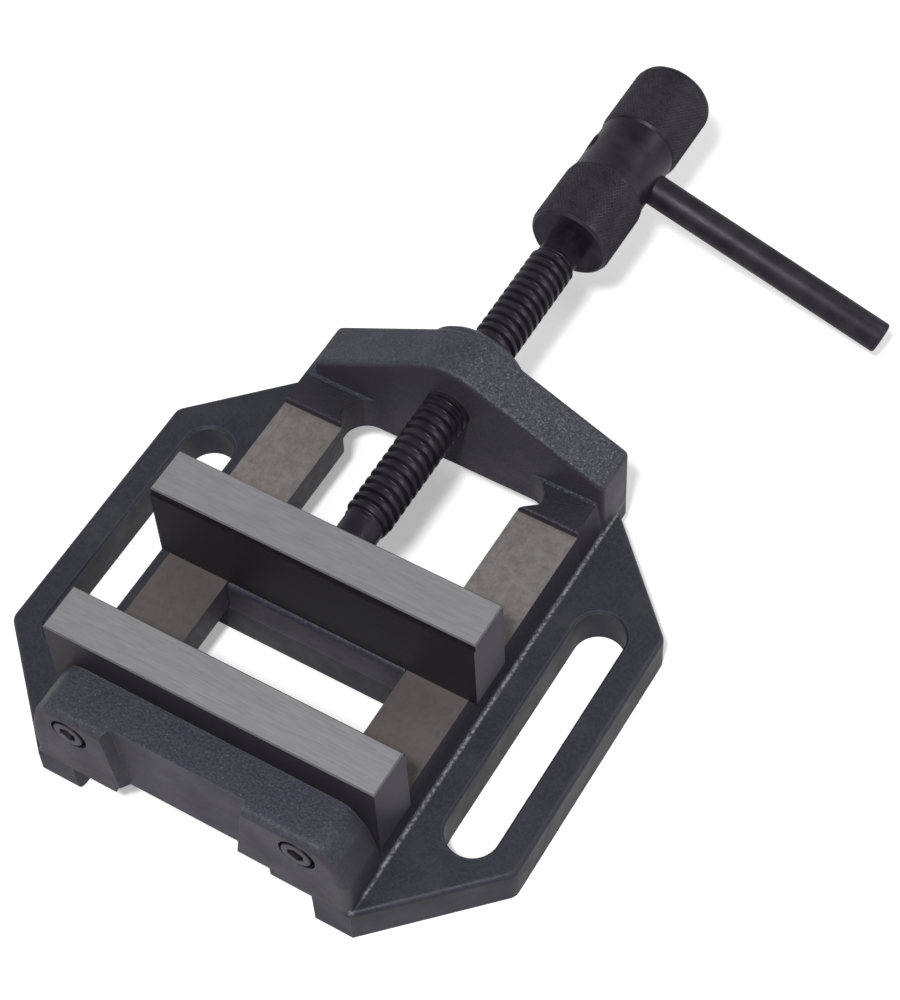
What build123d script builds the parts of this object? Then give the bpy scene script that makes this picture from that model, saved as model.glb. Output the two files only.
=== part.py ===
from build123d import *
from math import cos, radians, sin, tan
import os

# Drill press vise, in millimetres
# X runs across the jaws, Y from the fixed jaw toward the handle, and Z up.
# The origin is midway between the two mounting slots, on the underside of the base.

# Base plate, its two wings and their mounting slots
wing_span = 160.0
wing_thickness = 12.7
wing_corner_radius = 4.0
wing_edge_radius = 1.5
body_width = 98.0
base_front_reach = 70.5
base_rear_reach = 73.0
slot_spacing = 128.0
slot_travel = 68.0
slot_width = 15.0
slot_edge_chamfer = 0.7

# Rails and the channel under them
rail_height = 25.5
rail_gap = 56.8
rail_top_width = 94.8
rail_foot_width = 97.6
channel_width = 75.0
channel_height = 14.5
rear_pad_length = 11.7
rear_pad_rise = 1.8
rear_pad_radius = 1.2

# Opening between the rails
jaw_shelf_depth = 8.0
opening_front_radius = 3.0
opening_rear_left = 31.3
opening_rear_right = 33.6
opening_rear_length = 7.9
opening_flare_length = 4.0
opening_rear_radius = 7.5

# Fixed jaw block
block_thickness = 15.0
block_height = 41.5
block_shoulder_inset = 2.5
block_shoulder_drop = 6.5
block_top_inset = 4.5
block_side_drop = 9.0
block_shoulder_radius = 6.0
block_edge_radius = 2.5
block_toe_width = 50.0
block_toe_height = 16.4
block_heel_height = 12.9
block_foot_radius = 4.0
recess_left_bottom = 22.2
recess_left_top = 20.2
recess_left_run = 1.8
recess_right_bottom = 12.2
recess_right_top = 16.0
recess_right_run = 0.9
recess_bottom_depth = 2.4
recess_top_depth = 3.3

# Bridge that carries the screw
bridge_front_reach = 63.2
bridge_thickness = 15.0
bridge_left_reach = 45.0
bridge_right_reach = 49.0
bridge_foot_height = 6.0
bridge_arch_radius = 17.0
bridge_left_slope = 31.0
bridge_right_slope = 26.0
bridge_shoulder_radius = 1.8
bridge_edge_radius = 1.6
boss_radius = 15.8
boss_length = 3.2
boss_edge_chamfer = 1.5

# Jaw plates
plate_length = 100.0
plate_height = 28.5
plate_thickness = 14.7
plate_rebate_depth = 0.7
plate_rebate_height = 2.3
plate_edge_chamfer = 0.4
jaw_gap_at_rest = 33.7

# M6 cap screws and the holes that take them
cap_shank_radius = 3.0
cap_head_radius = 5.0
cap_head_height = 6.0
cap_socket_width = 5.0
cap_socket_depth = 3.2
cap_clearance_radius = 3.3
cap_counterbore_radius = 5.5
cap_recess = 1.2
thread_clearance = 0.05
jaw_screw_spacing = 70.0
jaw_screw_height = 33.5
fixed_screw_length = 20.0
moving_screw_length = 16.0
tapped_run_out = 0.8

# Sliding jaw
slide_clearance = 0.15
tongue_side_clearance = 0.4
tongue_lead = 1.1
tongue_edge_radius = 2.0
carriage_depth = 10.4
carriage_width = 93.0
carriage_side_drop = 10.5
carriage_top_inset = 9.5
carriage_top_height = 43.5
carriage_top_depth = 5.2
carriage_edge_radius = 4.0

# Keeper plate under the rails
keeper_clearance = 0.3
keeper_side_clearance = 1.0
keeper_thickness = 12.7
keeper_edge_chamfer = 0.8
keeper_screw_spacing = 32.0
keeper_screw_length = 16.0
washer_radius = 5.2
washer_thickness = 1.6
washer_split = 1.2

# Screw
screw_height = 39.7
thread_radius = 6.8
thread_run_in = 4.0
thread_run_out = 1.0
neck_radius = 5.8
neck_end_reach = 10.6
head_neck_radius = 6.0
head_neck_length = 8.0
collar_radius = 8.0
collar_thickness = 3.0
thrust_clearance = 0.1
collar_side_clearance = 0.3
bearing_clearance = 0.08
spigot_radius = 5.0
spigot_length = 19.0
fit_clearance = 0.04

# Head on the screw, from its lower face to its far end
head_start_reach = 123.4
lower_ring_radius = 12.5
lower_ring_length = 21.2
lower_ring_chamfer = 1.0
waist_cone_length = 2.8
waist_radius = 11.8
waist_length = 17.6
upper_ring_radius = 12.3
upper_ring_length = 24.4
upper_ring_lead = 0.8
head_end_chamfer = 2.0
head_pin_radius = 2.0
head_pin_bore_radius = 1.1
head_pin_split = 0.9
head_pin_place = 10.0
head_pin_recess = 0.4
head_pin_hold = 3.0

# Tommy bar and what holds it in the head
bar_radius = 4.75
bar_length = 102.8
bar_chamfer = 0.8
bar_tilt = 17.5
bar_place = 32.7
grub_radius = 3.0
grub_length = 10.0
grub_socket_width = 3.0
grub_socket_depth = 3.5
pad_radius = 2.8
pad_length = 4.0
pad_clearance = 0.1

# Margin by which a cutting profile runs past the faces that it opens
past = 1.0
# Nearness that counts as lying on a face when edges are picked by their place
near = 0.01

# Places along Y, from the front face to the rear
base_front = -base_front_reach
base_rear = base_rear_reach
fixed_plate_back = base_front + block_thickness
fixed_face = fixed_plate_back + plate_thickness
moving_face = fixed_face + jaw_gap_at_rest
moving_plate_back = moving_face + plate_thickness
tongue_front = moving_face - tongue_lead
carriage_rear = moving_plate_back + carriage_depth
opening_front = fixed_plate_back + jaw_shelf_depth
bridge_front = bridge_front_reach
bridge_rear = bridge_front + bridge_thickness
boss_rear = bridge_rear + boss_length
collar_front = moving_plate_back + thrust_clearance
collar_rear = collar_front + collar_thickness
neck_end = moving_plate_back + neck_end_reach
head_start = moving_plate_back + head_start_reach
head_end = head_start + lower_ring_length + waist_cone_length + waist_length + upper_ring_length
bar_y = head_start + bar_place

# Places along Z
slide_base = rail_height + slide_clearance
keeper_top = channel_height - keeper_clearance
keeper_bottom = keeper_top - keeper_thickness

screw_axis = Axis((0, 0, screw_height), (0, 1, 0))
screw_section = Plane(origin=(0, 0, screw_height), x_dir=(0, 1, 0), z_dir=(1, 0, 0))


def facing_front(y):
    """Upright plane at this Y that looks toward the front, with X to the right and Z up."""
    return Plane.XZ.offset(-y)


def edges_at(piece, axis, place):
    """Edges of a piece whose middle lies at one place along an axis."""
    return piece.edges().filter_by_position(axis, place - near, place + near)


def edges_above(edges, height):
    """Those of some edges whose middle lies higher than this."""
    return edges.filter_by(lambda edge: edge.center().Z > height)


def screw_planes(spacing, y, z, outward):
    """Planes at two spots, spaced across the vise, with their normal out of the screw's head."""
    return [
        Plane(origin=(side * spacing / 2, y, z), x_dir=(1, 0, 0), z_dir=outward)
        for side in (-1, 1)
    ]


def make_cap_screws(seats, shank_length):
    """Socket cap screws with the underside of each head on its seat plane."""
    with BuildPart() as screws:
        for seat in seats:
            with BuildSketch(seat):
                Circle(cap_head_radius)
            extrude(amount=cap_head_height)
            with BuildSketch(seat):
                Circle(cap_shank_radius)
            extrude(amount=-shank_length)
            with BuildSketch(seat.offset(cap_head_height)):
                RegularPolygon(cap_socket_width / 2, 6, major_radius=False)
            extrude(amount=-cap_socket_depth, mode=Mode.SUBTRACT)
    return screws


def make_jaw_plate(back, toward, bottom, length):
    """Jaw plate with a shallow step along the top of its gripping face, which looks toward +1 or -1 in Y."""
    face = back + toward * plate_thickness
    step_face = face - toward * plate_rebate_depth
    top = bottom + plate_height
    step_bottom = top - plate_rebate_height
    with BuildPart() as plate:
        with BuildSketch(Plane.YZ):
            with BuildLine():
                Polyline(
                    (back, bottom), (face, bottom), (face, step_bottom),
                    (step_face, step_bottom), (step_face, top), (back, top), close=True,
                )
            make_face()
        extrude(amount=length / 2, both=True)
        chamfer(plate.edges().group_by(Axis.Z)[-1], length=plate_edge_chamfer)
    return plate


# Bed casting
# The rails, the jaw block and the bridge stand on one plate with four corners cut at 45 degrees.

wing_cut = (wing_span - body_width) / 2
base_middle = (base_front + base_rear) / 2
block_shoulder_height = block_height - block_shoulder_drop
block_side_height = block_shoulder_height - block_side_drop
rail_draft = (rail_foot_width - rail_top_width) / 2 / (rail_height - wing_thickness)


def rail_section(top, y):
    """Cross-section over both rails up to a height, with both outer walls drafted."""
    half_top = rail_top_width / 2 - (top - rail_height) * rail_draft
    half_foot = rail_foot_width / 2 + wing_thickness * rail_draft
    with BuildSketch(facing_front(y)) as section:
        with BuildLine():
            Polyline((half_foot, 0), (half_top, top), (-half_top, top), (-half_foot, 0), close=True)
        make_face()
    return section.sketch


with BuildPart() as base_plate:
    with BuildSketch() as base_outline:
        with Locations((0, base_middle)):
            Rectangle(wing_span, base_rear - base_front)
        chamfer(base_outline.vertices(), length=wing_cut)
        side_corners = base_outline.vertices().group_by(Axis.X)
        fillet(side_corners[0] + side_corners[-1], radius=wing_corner_radius)
    extrude(amount=wing_thickness)
    fillet(base_plate.edges().group_by(Axis.Z)[-1], radius=wing_edge_radius)
    with BuildSketch():
        with Locations((-slot_spacing / 2, 0), (slot_spacing / 2, 0)):
            SlotCenterToCenter(slot_travel, slot_width, rotation=90)
    extrude(amount=wing_thickness, mode=Mode.SUBTRACT)
    slot_rims = base_plate.faces().sort_by(Axis.Z)[-1].inner_wires()
    chamfer([edge for rim in slot_rims for edge in rim.edges()], length=slot_edge_chamfer)


def bridge_side(reach, slope):
    """Height of the bridge at this reach from the screw, and where that slope leaves the arch."""
    angle = radians(slope)
    height = screw_height + bridge_arch_radius / cos(angle) - reach * tan(angle)
    return height, bridge_arch_radius * sin(angle), screw_height + bridge_arch_radius * cos(angle)


# Bridge: an arch round the screw with a straight slope down to each side, and a boss behind it
# As on the pictured casting, it is steeper and shorter on the left.

left_height, left_tangent_x, left_tangent_z = bridge_side(bridge_left_reach, bridge_left_slope)
right_height, right_tangent_x, right_tangent_z = bridge_side(bridge_right_reach, bridge_right_slope)

with BuildPart() as bridge:
    with BuildSketch(facing_front(bridge_rear)) as bridge_outline:
        with BuildLine():
            Polyline(
                (-left_tangent_x, left_tangent_z),
                (-bridge_left_reach, left_height),
                (-bridge_left_reach, bridge_foot_height),
                (bridge_right_reach, bridge_foot_height),
                (bridge_right_reach, right_height),
                (right_tangent_x, right_tangent_z),
            )
            CenterArc(
                (0, screw_height),
                bridge_arch_radius,
                90 - bridge_right_slope,
                bridge_left_slope + bridge_right_slope,
            )
        make_face()
        ends = bridge_outline.vertices().group_by(Axis.X)
        shoulders = [end.sort_by(Axis.Y)[-1] for end in (ends[0], ends[-1])]
        fillet(shoulders, radius=bridge_shoulder_radius)
    extrude(amount=bridge_thickness)
    rims = edges_at(bridge, Axis.Y, bridge_front) + edges_at(bridge, Axis.Y, bridge_rear)
    fillet(edges_above(rims, bridge_foot_height + past), radius=bridge_edge_radius)
    with BuildSketch(facing_front(boss_rear)):
        with Locations((0, screw_height)):
            Circle(boss_radius)
    extrude(amount=boss_length + bridge_thickness / 2)
    chamfer(bridge.edges().sort_by(Axis.Y)[-1], length=boss_edge_chamfer)

# Fixed jaw block with stepped-in shoulders

with BuildPart() as jaw_block:
    with BuildSketch(facing_front(fixed_plate_back)) as block_outline:
        with BuildLine():
            Polyline(
                (0, 0),
                (body_width / 2, 0),
                (body_width / 2, block_side_height),
                (body_width / 2 - block_shoulder_inset, block_shoulder_height),
                (body_width / 2 - block_shoulder_inset - block_top_inset, block_height),
                (0, block_height),
            )
            mirror(about=Plane.YZ)
        make_face()
        fillet(block_outline.vertices().group_by(Axis.Y)[-1], radius=block_shoulder_radius)
        sides = block_outline.vertices().filter_by_position(
            Axis.Y, block_side_height - past, block_shoulder_height + past
        )
        fillet(sides, radius=block_shoulder_radius)
    extrude(amount=block_thickness)
    fillet(edges_above(edges_at(jaw_block, Axis.Y, base_front), past), radius=block_edge_radius)

with BuildPart() as bed_casting:
    add(base_plate.part)
    add(bridge.part)
    add(jaw_block.part)

    # Rails, and the higher unmachined pads where they meet the bridge
    rail_end = bridge_front + bridge_thickness / 2
    extrude(rail_section(rail_height, rail_end), amount=rail_end - fixed_plate_back)
    extrude(
        rail_section(rail_height + rear_pad_rise, rail_end),
        amount=bridge_thickness / 2 + rear_pad_length,
    )
    pad_edges = edges_at(bed_casting, Axis.Y, bridge_front - rear_pad_length)
    fillet(pad_edges.group_by(Axis.Z)[-1], radius=rear_pad_radius)

    # Channel under the rails, and the stepped underside of the jaw block
    with BuildSketch(facing_front(boss_rear + past)):
        with Locations((0, channel_height)):
            Rectangle(channel_width, channel_height + past, align=(Align.CENTER, Align.MAX))
    extrude(amount=boss_rear + past - fixed_plate_back, mode=Mode.SUBTRACT)
    with BuildSketch(facing_front(fixed_plate_back)):
        with BuildLine():
            Polyline(
                (0, -past),
                (channel_width / 2, -past),
                (channel_width / 2, block_heel_height),
                (block_toe_width / 2, block_heel_height),
                (block_toe_width / 2, block_toe_height),
                (0, block_toe_height),
            )
            mirror(about=Plane.YZ)
        make_face()
    extrude(amount=block_thickness + past, mode=Mode.SUBTRACT)

    # Opening between the rails, flared where it meets the bridge
    flare_start = bridge_front - opening_rear_length - opening_flare_length
    with BuildSketch() as opening_outline:
        with BuildLine():
            Polyline(
                (-rail_gap / 2, opening_front),
                (rail_gap / 2, opening_front),
                (rail_gap / 2, flare_start),
                (opening_rear_right, flare_start + opening_flare_length),
                (opening_rear_right, bridge_front),
                (-opening_rear_left, bridge_front),
                (-opening_rear_left, flare_start + opening_flare_length),
                (-rail_gap / 2, flare_start),
                close=True,
            )
        make_face()
        ends = opening_outline.vertices().group_by(Axis.Y)
        fillet(ends[-1], radius=opening_rear_radius)
        fillet(opening_outline.vertices().group_by(Axis.Y)[0], radius=opening_front_radius)
    extrude(amount=rail_height + rear_pad_rise, mode=Mode.SUBTRACT)

    # Shallow recess in the front face, with sloping sides and a leaning floor, more to the left
    floor_y = base_front + recess_bottom_depth
    lean = (recess_top_depth - recess_bottom_depth) / (block_height - block_heel_height)
    recess_low = block_heel_height - past
    recess_high = block_height + past
    with BuildSketch(facing_front(base_front)):
        with BuildLine():
            Polyline(
                (recess_right_bottom + recess_right_run, recess_low),
                (recess_right_top + recess_right_run, recess_high),
                (-recess_left_top - recess_left_run, recess_high),
                (-recess_left_bottom - recess_left_run, recess_low),
                close=True,
            )
        make_face()
    floor_plane = Plane(
        origin=(0, floor_y, block_heel_height), x_dir=(1, 0, 0), z_dir=(0, -1, lean)
    )
    with BuildSketch(floor_plane):
        with BuildLine():
            Polyline(
                (recess_right_bottom, -past),
                (recess_right_top, recess_high - block_heel_height),
                (-recess_left_top, recess_high - block_heel_height),
                (-recess_left_bottom, -past),
                close=True,
            )
        make_face()
    loft(mode=Mode.SUBTRACT)

    # Rounded front foot on the left
    foot_edges = edges_at(bed_casting, Axis.Y, base_front).group_by(Axis.Z)[0]
    fillet(foot_edges.sort_by(Axis.X)[0], radius=block_foot_radius)

    # Bore for the screw, and the sunk holes of the jaw screws
    with BuildSketch(facing_front(boss_rear)):
        with Locations((0, screw_height)):
            Circle(thread_radius + bearing_clearance)
    extrude(amount=boss_rear - bridge_front, mode=Mode.SUBTRACT)
    with Locations(*screw_planes(jaw_screw_spacing, base_front, jaw_screw_height, (0, -1, 0))):
        CounterBoreHole(
            cap_clearance_radius, cap_counterbore_radius, cap_head_height + cap_recess, block_thickness
        )

# Fixed jaw plate and its screws

fixed_seat_y = base_front + cap_recess + cap_head_height
fixed_tap_depth = fixed_screw_length - (fixed_plate_back - fixed_seat_y) + tapped_run_out

fixed_jaw_plate = make_jaw_plate(fixed_plate_back, 1, rail_height, plate_length)
with fixed_jaw_plate:
    with Locations(*screw_planes(jaw_screw_spacing, fixed_plate_back, jaw_screw_height, (0, -1, 0))):
        Hole(cap_shank_radius + thread_clearance, depth=fixed_tap_depth)

fixed_jaw_screws = make_cap_screws(
    screw_planes(jaw_screw_spacing, fixed_seat_y, jaw_screw_height, (0, -1, 0)), fixed_screw_length
)

# Sliding jaw: a tongue between the rails, and a saddle behind the plate that takes the screw's collar

moving_seat_y = carriage_rear - cap_recess - cap_head_height
moving_tap_depth = moving_screw_length - (moving_seat_y - moving_plate_back) + tapped_run_out
tongue_width = rail_gap - 2 * tongue_side_clearance
tongue_middle = (tongue_front + carriage_rear) / 2
washer_seat_z = keeper_bottom + cap_recess + cap_head_height + washer_thickness
carriage_side_height = carriage_top_height - carriage_side_drop
keeper_tap_depth = keeper_screw_length - (keeper_top - washer_seat_z + washer_thickness) + tapped_run_out

with BuildPart() as moving_jaw_casting:
    # Saddle across the rails
    with BuildSketch(facing_front(carriage_rear)) as saddle_outline:
        with BuildLine():
            Polyline(
                (0, slide_base),
                (carriage_width / 2, slide_base),
                (carriage_width / 2, carriage_side_height),
                (carriage_width / 2 - carriage_top_inset, carriage_top_height),
                (0, carriage_top_height),
            )
            mirror(about=Plane.YZ)
        make_face()
        fillet(saddle_outline.vertices().group_by(Axis.Y)[-1], radius=carriage_edge_radius)
        fillet(
            saddle_outline.vertices().filter_by_position(
                Axis.Y, carriage_side_height - past, carriage_side_height + past
            ),
            radius=carriage_edge_radius,
        )
    extrude(amount=carriage_depth)
    # Its back leans forward above the jaw screws
    with BuildSketch(Plane.YZ):
        with BuildLine():
            Polyline(
                (carriage_rear, carriage_side_height + past),
                (moving_plate_back + carriage_top_depth, carriage_top_height),
                (moving_plate_back + carriage_top_depth, carriage_top_height + past),
                (carriage_rear + past, carriage_top_height + past),
                (carriage_rear + past, carriage_side_height + past),
                close=True,
            )
        make_face()
    extrude(amount=carriage_width, both=True, mode=Mode.SUBTRACT)

    # Tongue between the rails
    with BuildSketch(Plane.XY.offset(keeper_top)):
        with Locations((0, tongue_middle)):
            Rectangle(tongue_width, carriage_rear - tongue_front)
    extrude(amount=slide_base - keeper_top)
    front_edges = edges_at(moving_jaw_casting, Axis.Y, tongue_front)
    fillet(front_edges.group_by(Axis.Z)[-1], radius=tongue_edge_radius)

    # Open-topped slots for the screw's collar and neck
    for radius, y_front, y_rear in (
        (collar_radius + collar_side_clearance, moving_plate_back, collar_rear + thrust_clearance),
        (neck_radius + bearing_clearance, moving_plate_back, carriage_rear),
    ):
        with BuildSketch(facing_front(y_rear)):
            with Locations((0, screw_height)):
                Circle(radius)
                Rectangle(
                    2 * radius, carriage_top_height - screw_height + past, align=(Align.CENTER, Align.MIN)
                )
        extrude(amount=y_rear - y_front, mode=Mode.SUBTRACT)

    # Sunk holes of the jaw screws from behind, tapped holes of the keeper screws from below
    with Locations(*screw_planes(jaw_screw_spacing, carriage_rear, jaw_screw_height, (0, 1, 0))):
        CounterBoreHole(
            cap_clearance_radius, cap_counterbore_radius, cap_head_height + cap_recess, carriage_depth
        )
    with Locations(*screw_planes(keeper_screw_spacing, tongue_middle, keeper_top, (0, 0, -1))):
        Hole(cap_shank_radius + thread_clearance, depth=keeper_tap_depth)

moving_jaw_plate = make_jaw_plate(moving_plate_back, -1, slide_base, plate_length)
with moving_jaw_plate:
    with Locations(*screw_planes(jaw_screw_spacing, moving_plate_back, jaw_screw_height, (0, 1, 0))):
        Hole(cap_shank_radius + thread_clearance, depth=moving_tap_depth)

moving_jaw_screws = make_cap_screws(
    screw_planes(jaw_screw_spacing, moving_seat_y, jaw_screw_height, (0, 1, 0)), moving_screw_length
)

# Keeper plate under the rails, with its screws and spring washers

with BuildPart() as keeper_plate:
    with BuildSketch(Plane.XY.offset(keeper_bottom)):
        with Locations((0, tongue_middle)):
            Rectangle(channel_width - 2 * keeper_side_clearance, carriage_rear - tongue_front)
    extrude(amount=keeper_thickness)
    chamfer(keeper_plate.edges().group_by(Axis.Z)[0], length=keeper_edge_chamfer)
    with Locations(*screw_planes(keeper_screw_spacing, tongue_middle, keeper_bottom, (0, 0, -1))):
        CounterBoreHole(
            cap_clearance_radius,
            cap_counterbore_radius,
            cap_recess + cap_head_height + washer_thickness,
            keeper_thickness,
        )

head_seat_z = washer_seat_z - washer_thickness
keeper_screws = make_cap_screws(
    screw_planes(keeper_screw_spacing, tongue_middle, head_seat_z, (0, 0, -1)), keeper_screw_length
)

with BuildPart() as keeper_washers:
    for side in (-1, 1):
        with BuildSketch(Plane.XY.offset(head_seat_z)):
            with Locations((side * keeper_screw_spacing / 2, tongue_middle)):
                Circle(washer_radius)
                Circle(cap_clearance_radius, mode=Mode.SUBTRACT)
            with Locations((side * (keeper_screw_spacing / 2 + washer_radius), tongue_middle)):
                Rectangle(2 * (washer_radius - cap_shank_radius) + past, washer_split, mode=Mode.SUBTRACT)
        extrude(amount=washer_thickness)

# Screw: collar, smooth neck, threaded length as its outer cylinder, and spigot for the head

bar_direction = (cos(radians(bar_tilt)), 0, -sin(radians(bar_tilt)))


def across_head(y):
    """Plane across the head at this Y, square to the tommy bar's line."""
    return Plane(origin=(0, y, screw_height), x_dir=(0, 1, 0), z_dir=bar_direction)


def turned_profile(points):
    """Half section of a turned piece: distance along Y and radius, closed along the screw's axis."""
    with BuildSketch(screw_section) as section:
        with BuildLine():
            Polyline((points[0][0], 0), *points, (points[-1][0], 0), close=True)
        make_face()
    return section.sketch


# The spring pin is driven in from one side, through the spigot and a little way into the far wall
pin_y = head_start + head_pin_place
pin_reach = spigot_radius + head_pin_hold

with BuildPart() as lead_screw:
    profile = turned_profile([
        (collar_front, collar_radius),
        (collar_rear, collar_radius),
        (collar_rear, neck_radius),
        (neck_end, neck_radius),
        (neck_end + thread_run_in, thread_radius),
        (head_start - head_neck_length - thread_run_out, thread_radius),
        (head_start - head_neck_length, head_neck_radius),
        (head_start, head_neck_radius),
        (head_start, spigot_radius),
        (head_start + spigot_length, spigot_radius),
    ])
    revolve(profile, axis=screw_axis)
    with BuildSketch(across_head(pin_y)):
        Circle(head_pin_radius + fit_clearance)
    extrude(amount=thread_radius, both=True, mode=Mode.SUBTRACT)

# Head with two rings for the fingers and a waist that the bar crosses

lower_ring_end = head_start + lower_ring_length
waist_start = lower_ring_end + waist_cone_length
waist_end = waist_start + waist_length

with BuildPart() as spindle_head:
    profile = turned_profile([
        (head_start, lower_ring_radius - lower_ring_chamfer),
        (head_start + lower_ring_chamfer, lower_ring_radius),
        (lower_ring_end, lower_ring_radius),
        (waist_start, waist_radius),
        (waist_end, waist_radius),
        (waist_end + upper_ring_lead, upper_ring_radius),
        (head_end - head_end_chamfer, upper_ring_radius),
        (head_end, upper_ring_radius - head_end_chamfer),
    ])
    revolve(profile, axis=screw_axis)
    with BuildSketch(facing_front(head_start + spigot_length + fit_clearance)):
        with Locations((0, screw_height)):
            Circle(spigot_radius + fit_clearance)
    extrude(amount=spigot_length + fit_clearance, mode=Mode.SUBTRACT)
    with BuildSketch(facing_front(head_end)):
        with Locations((0, screw_height)):
            Circle(grub_radius + thread_clearance)
    extrude(amount=head_end - bar_y, mode=Mode.SUBTRACT)
    with BuildSketch(across_head(bar_y)):
        Circle(bar_radius + bearing_clearance)
    extrude(amount=lower_ring_radius + past, both=True, mode=Mode.SUBTRACT)
    with BuildSketch(across_head(pin_y).offset(pin_reach + fit_clearance)):
        Circle(head_pin_radius + fit_clearance)
    extrude(amount=-pin_reach - lower_ring_radius - past, mode=Mode.SUBTRACT)

with BuildPart() as head_pin:
    with BuildSketch(across_head(pin_y).offset(pin_reach)):
        Circle(head_pin_radius)
        Circle(head_pin_bore_radius, mode=Mode.SUBTRACT)
        with Locations((head_pin_radius, 0)):
            Rectangle(2 * head_pin_radius, head_pin_split, mode=Mode.SUBTRACT)
    extrude(amount=-pin_reach - lower_ring_radius + head_pin_recess)

# Tommy bar, flush with the waist at its near end, and the set screw and slug that press on it

with BuildPart() as tommy_bar:
    with BuildSketch(across_head(bar_y).offset(-waist_radius)):
        Circle(bar_radius)
    extrude(amount=bar_length)
    chamfer(tommy_bar.edges().filter_by(GeomType.CIRCLE), length=bar_chamfer)

pad_start = bar_y + bar_radius + pad_clearance
grub_start = pad_start + pad_length

with BuildPart() as bar_friction_pad:
    with BuildSketch(facing_front(grub_start)):
        with Locations((0, screw_height)):
            Circle(pad_radius)
    extrude(amount=pad_length)

with BuildPart() as head_grub_screw:
    with BuildSketch(facing_front(grub_start + grub_length)):
        with Locations((0, screw_height)):
            Circle(grub_radius)
    extrude(amount=grub_length)
    with BuildSketch(facing_front(grub_start + grub_length)):
        with Locations((0, screw_height)):
            RegularPolygon(grub_socket_width / 2, 6, major_radius=False)
    extrude(amount=grub_socket_depth, mode=Mode.SUBTRACT)

# Write every piece to its own file

pieces = {
    "bed_casting": bed_casting,
    "fixed_jaw_plate": fixed_jaw_plate,
    "fixed_jaw_screws": fixed_jaw_screws,
    "moving_jaw_casting": moving_jaw_casting,
    "moving_jaw_plate": moving_jaw_plate,
    "moving_jaw_screws": moving_jaw_screws,
    "keeper_plate": keeper_plate,
    "keeper_screws": keeper_screws,
    "keeper_washers": keeper_washers,
    "lead_screw": lead_screw,
    "spindle_head": spindle_head,
    "head_pin": head_pin,
    "tommy_bar": tommy_bar,
    "bar_friction_pad": bar_friction_pad,
    "head_grub_screw": head_grub_screw,
}

os.makedirs("parts", exist_ok=True)
for name, piece in pieces.items():
    piece.part.label = name
    export_step(piece.part, f"parts/{name}.step")
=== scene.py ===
# %% [markdown]
# # Dressing a drill press vise
# The solids of this vise were drawn in a CAD program: a cast bed with two rails and an arched bridge, two
# steel jaw plates, a screw, a knurled head and a cross bar. They come in as a fixed frame, and Blender's
# work is their looks. A solid with the right shape stays and gets a better finish. Where the solid leaves
# out fine form, such as the thread or the knurling, a detailed piece takes its place.

# %% Load the solids
import math

import bmesh
import bpy
from mathutils import Matrix, Vector


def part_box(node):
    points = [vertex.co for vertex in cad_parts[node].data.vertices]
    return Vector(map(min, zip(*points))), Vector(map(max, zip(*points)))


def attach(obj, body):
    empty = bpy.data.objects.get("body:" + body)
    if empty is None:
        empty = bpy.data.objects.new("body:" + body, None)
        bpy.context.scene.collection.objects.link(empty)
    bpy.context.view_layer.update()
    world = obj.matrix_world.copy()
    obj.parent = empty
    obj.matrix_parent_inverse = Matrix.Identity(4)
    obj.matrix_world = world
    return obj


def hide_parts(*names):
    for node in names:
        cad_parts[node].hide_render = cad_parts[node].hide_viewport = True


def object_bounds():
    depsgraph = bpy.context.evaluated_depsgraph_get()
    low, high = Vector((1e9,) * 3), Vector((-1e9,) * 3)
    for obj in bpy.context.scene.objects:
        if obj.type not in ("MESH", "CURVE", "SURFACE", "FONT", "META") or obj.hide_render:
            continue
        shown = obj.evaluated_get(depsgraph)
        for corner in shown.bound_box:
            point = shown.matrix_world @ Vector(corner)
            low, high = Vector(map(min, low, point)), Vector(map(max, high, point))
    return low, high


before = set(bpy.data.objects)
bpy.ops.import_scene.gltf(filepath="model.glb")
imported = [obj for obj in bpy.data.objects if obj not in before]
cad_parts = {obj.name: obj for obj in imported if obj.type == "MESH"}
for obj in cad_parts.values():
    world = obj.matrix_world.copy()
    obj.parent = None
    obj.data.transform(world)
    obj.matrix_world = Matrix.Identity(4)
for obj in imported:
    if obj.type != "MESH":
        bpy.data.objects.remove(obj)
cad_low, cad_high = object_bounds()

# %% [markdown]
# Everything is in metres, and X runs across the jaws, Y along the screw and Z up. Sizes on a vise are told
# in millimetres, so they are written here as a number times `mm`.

mm = 0.001
print("box of the solids, mm:", [round(v / mm, 1) for v in (*cad_low, *cad_high)])

# %% [markdown]
# ## Trees of nodes
# Finishes are trees of shader nodes, and repeated forms are trees of geometry nodes. Both are built by the
# same helpers. `add_node` adds one node and fills its inputs with numbers or with the outputs of other
# nodes. The others are short forms for arithmetic with numbers and with vectors.


# %% Node helpers
def add_node(tree, kind, inputs=None, **settings):
    """Adds a node, applies its settings, and sets or links each named input."""
    node = tree.nodes.new(kind)
    for setting, value in settings.items():
        setattr(node, setting, value)
    for key, value in (inputs or {}).items():
        if isinstance(value, bpy.types.NodeSocket):
            tree.links.new(value, node.inputs[key])
        else:
            node.inputs[key].default_value = value
    return node


def calc(tree, operation, *values):
    """Output of one Math node fed with numbers or sockets."""
    return add_node(tree, "ShaderNodeMath", dict(enumerate(values)), operation=operation).outputs[0]


def product(tree, *values):
    """Product of any number of numbers and sockets."""
    result = values[0]
    for value in values[1:]:
        result = calc(tree, "MULTIPLY", result, value)
    return result


def remap(tree, value, low, high, to_low=0.0, to_high=1.0):
    """Smooth step of a value: to_low below low, to_high above high."""
    settings = {"Value": value, "From Min": low, "From Max": high, "To Min": to_low, "To Max": to_high}
    return add_node(tree, "ShaderNodeMapRange", settings, interpolation_type="SMOOTHSTEP").outputs[0]


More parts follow.
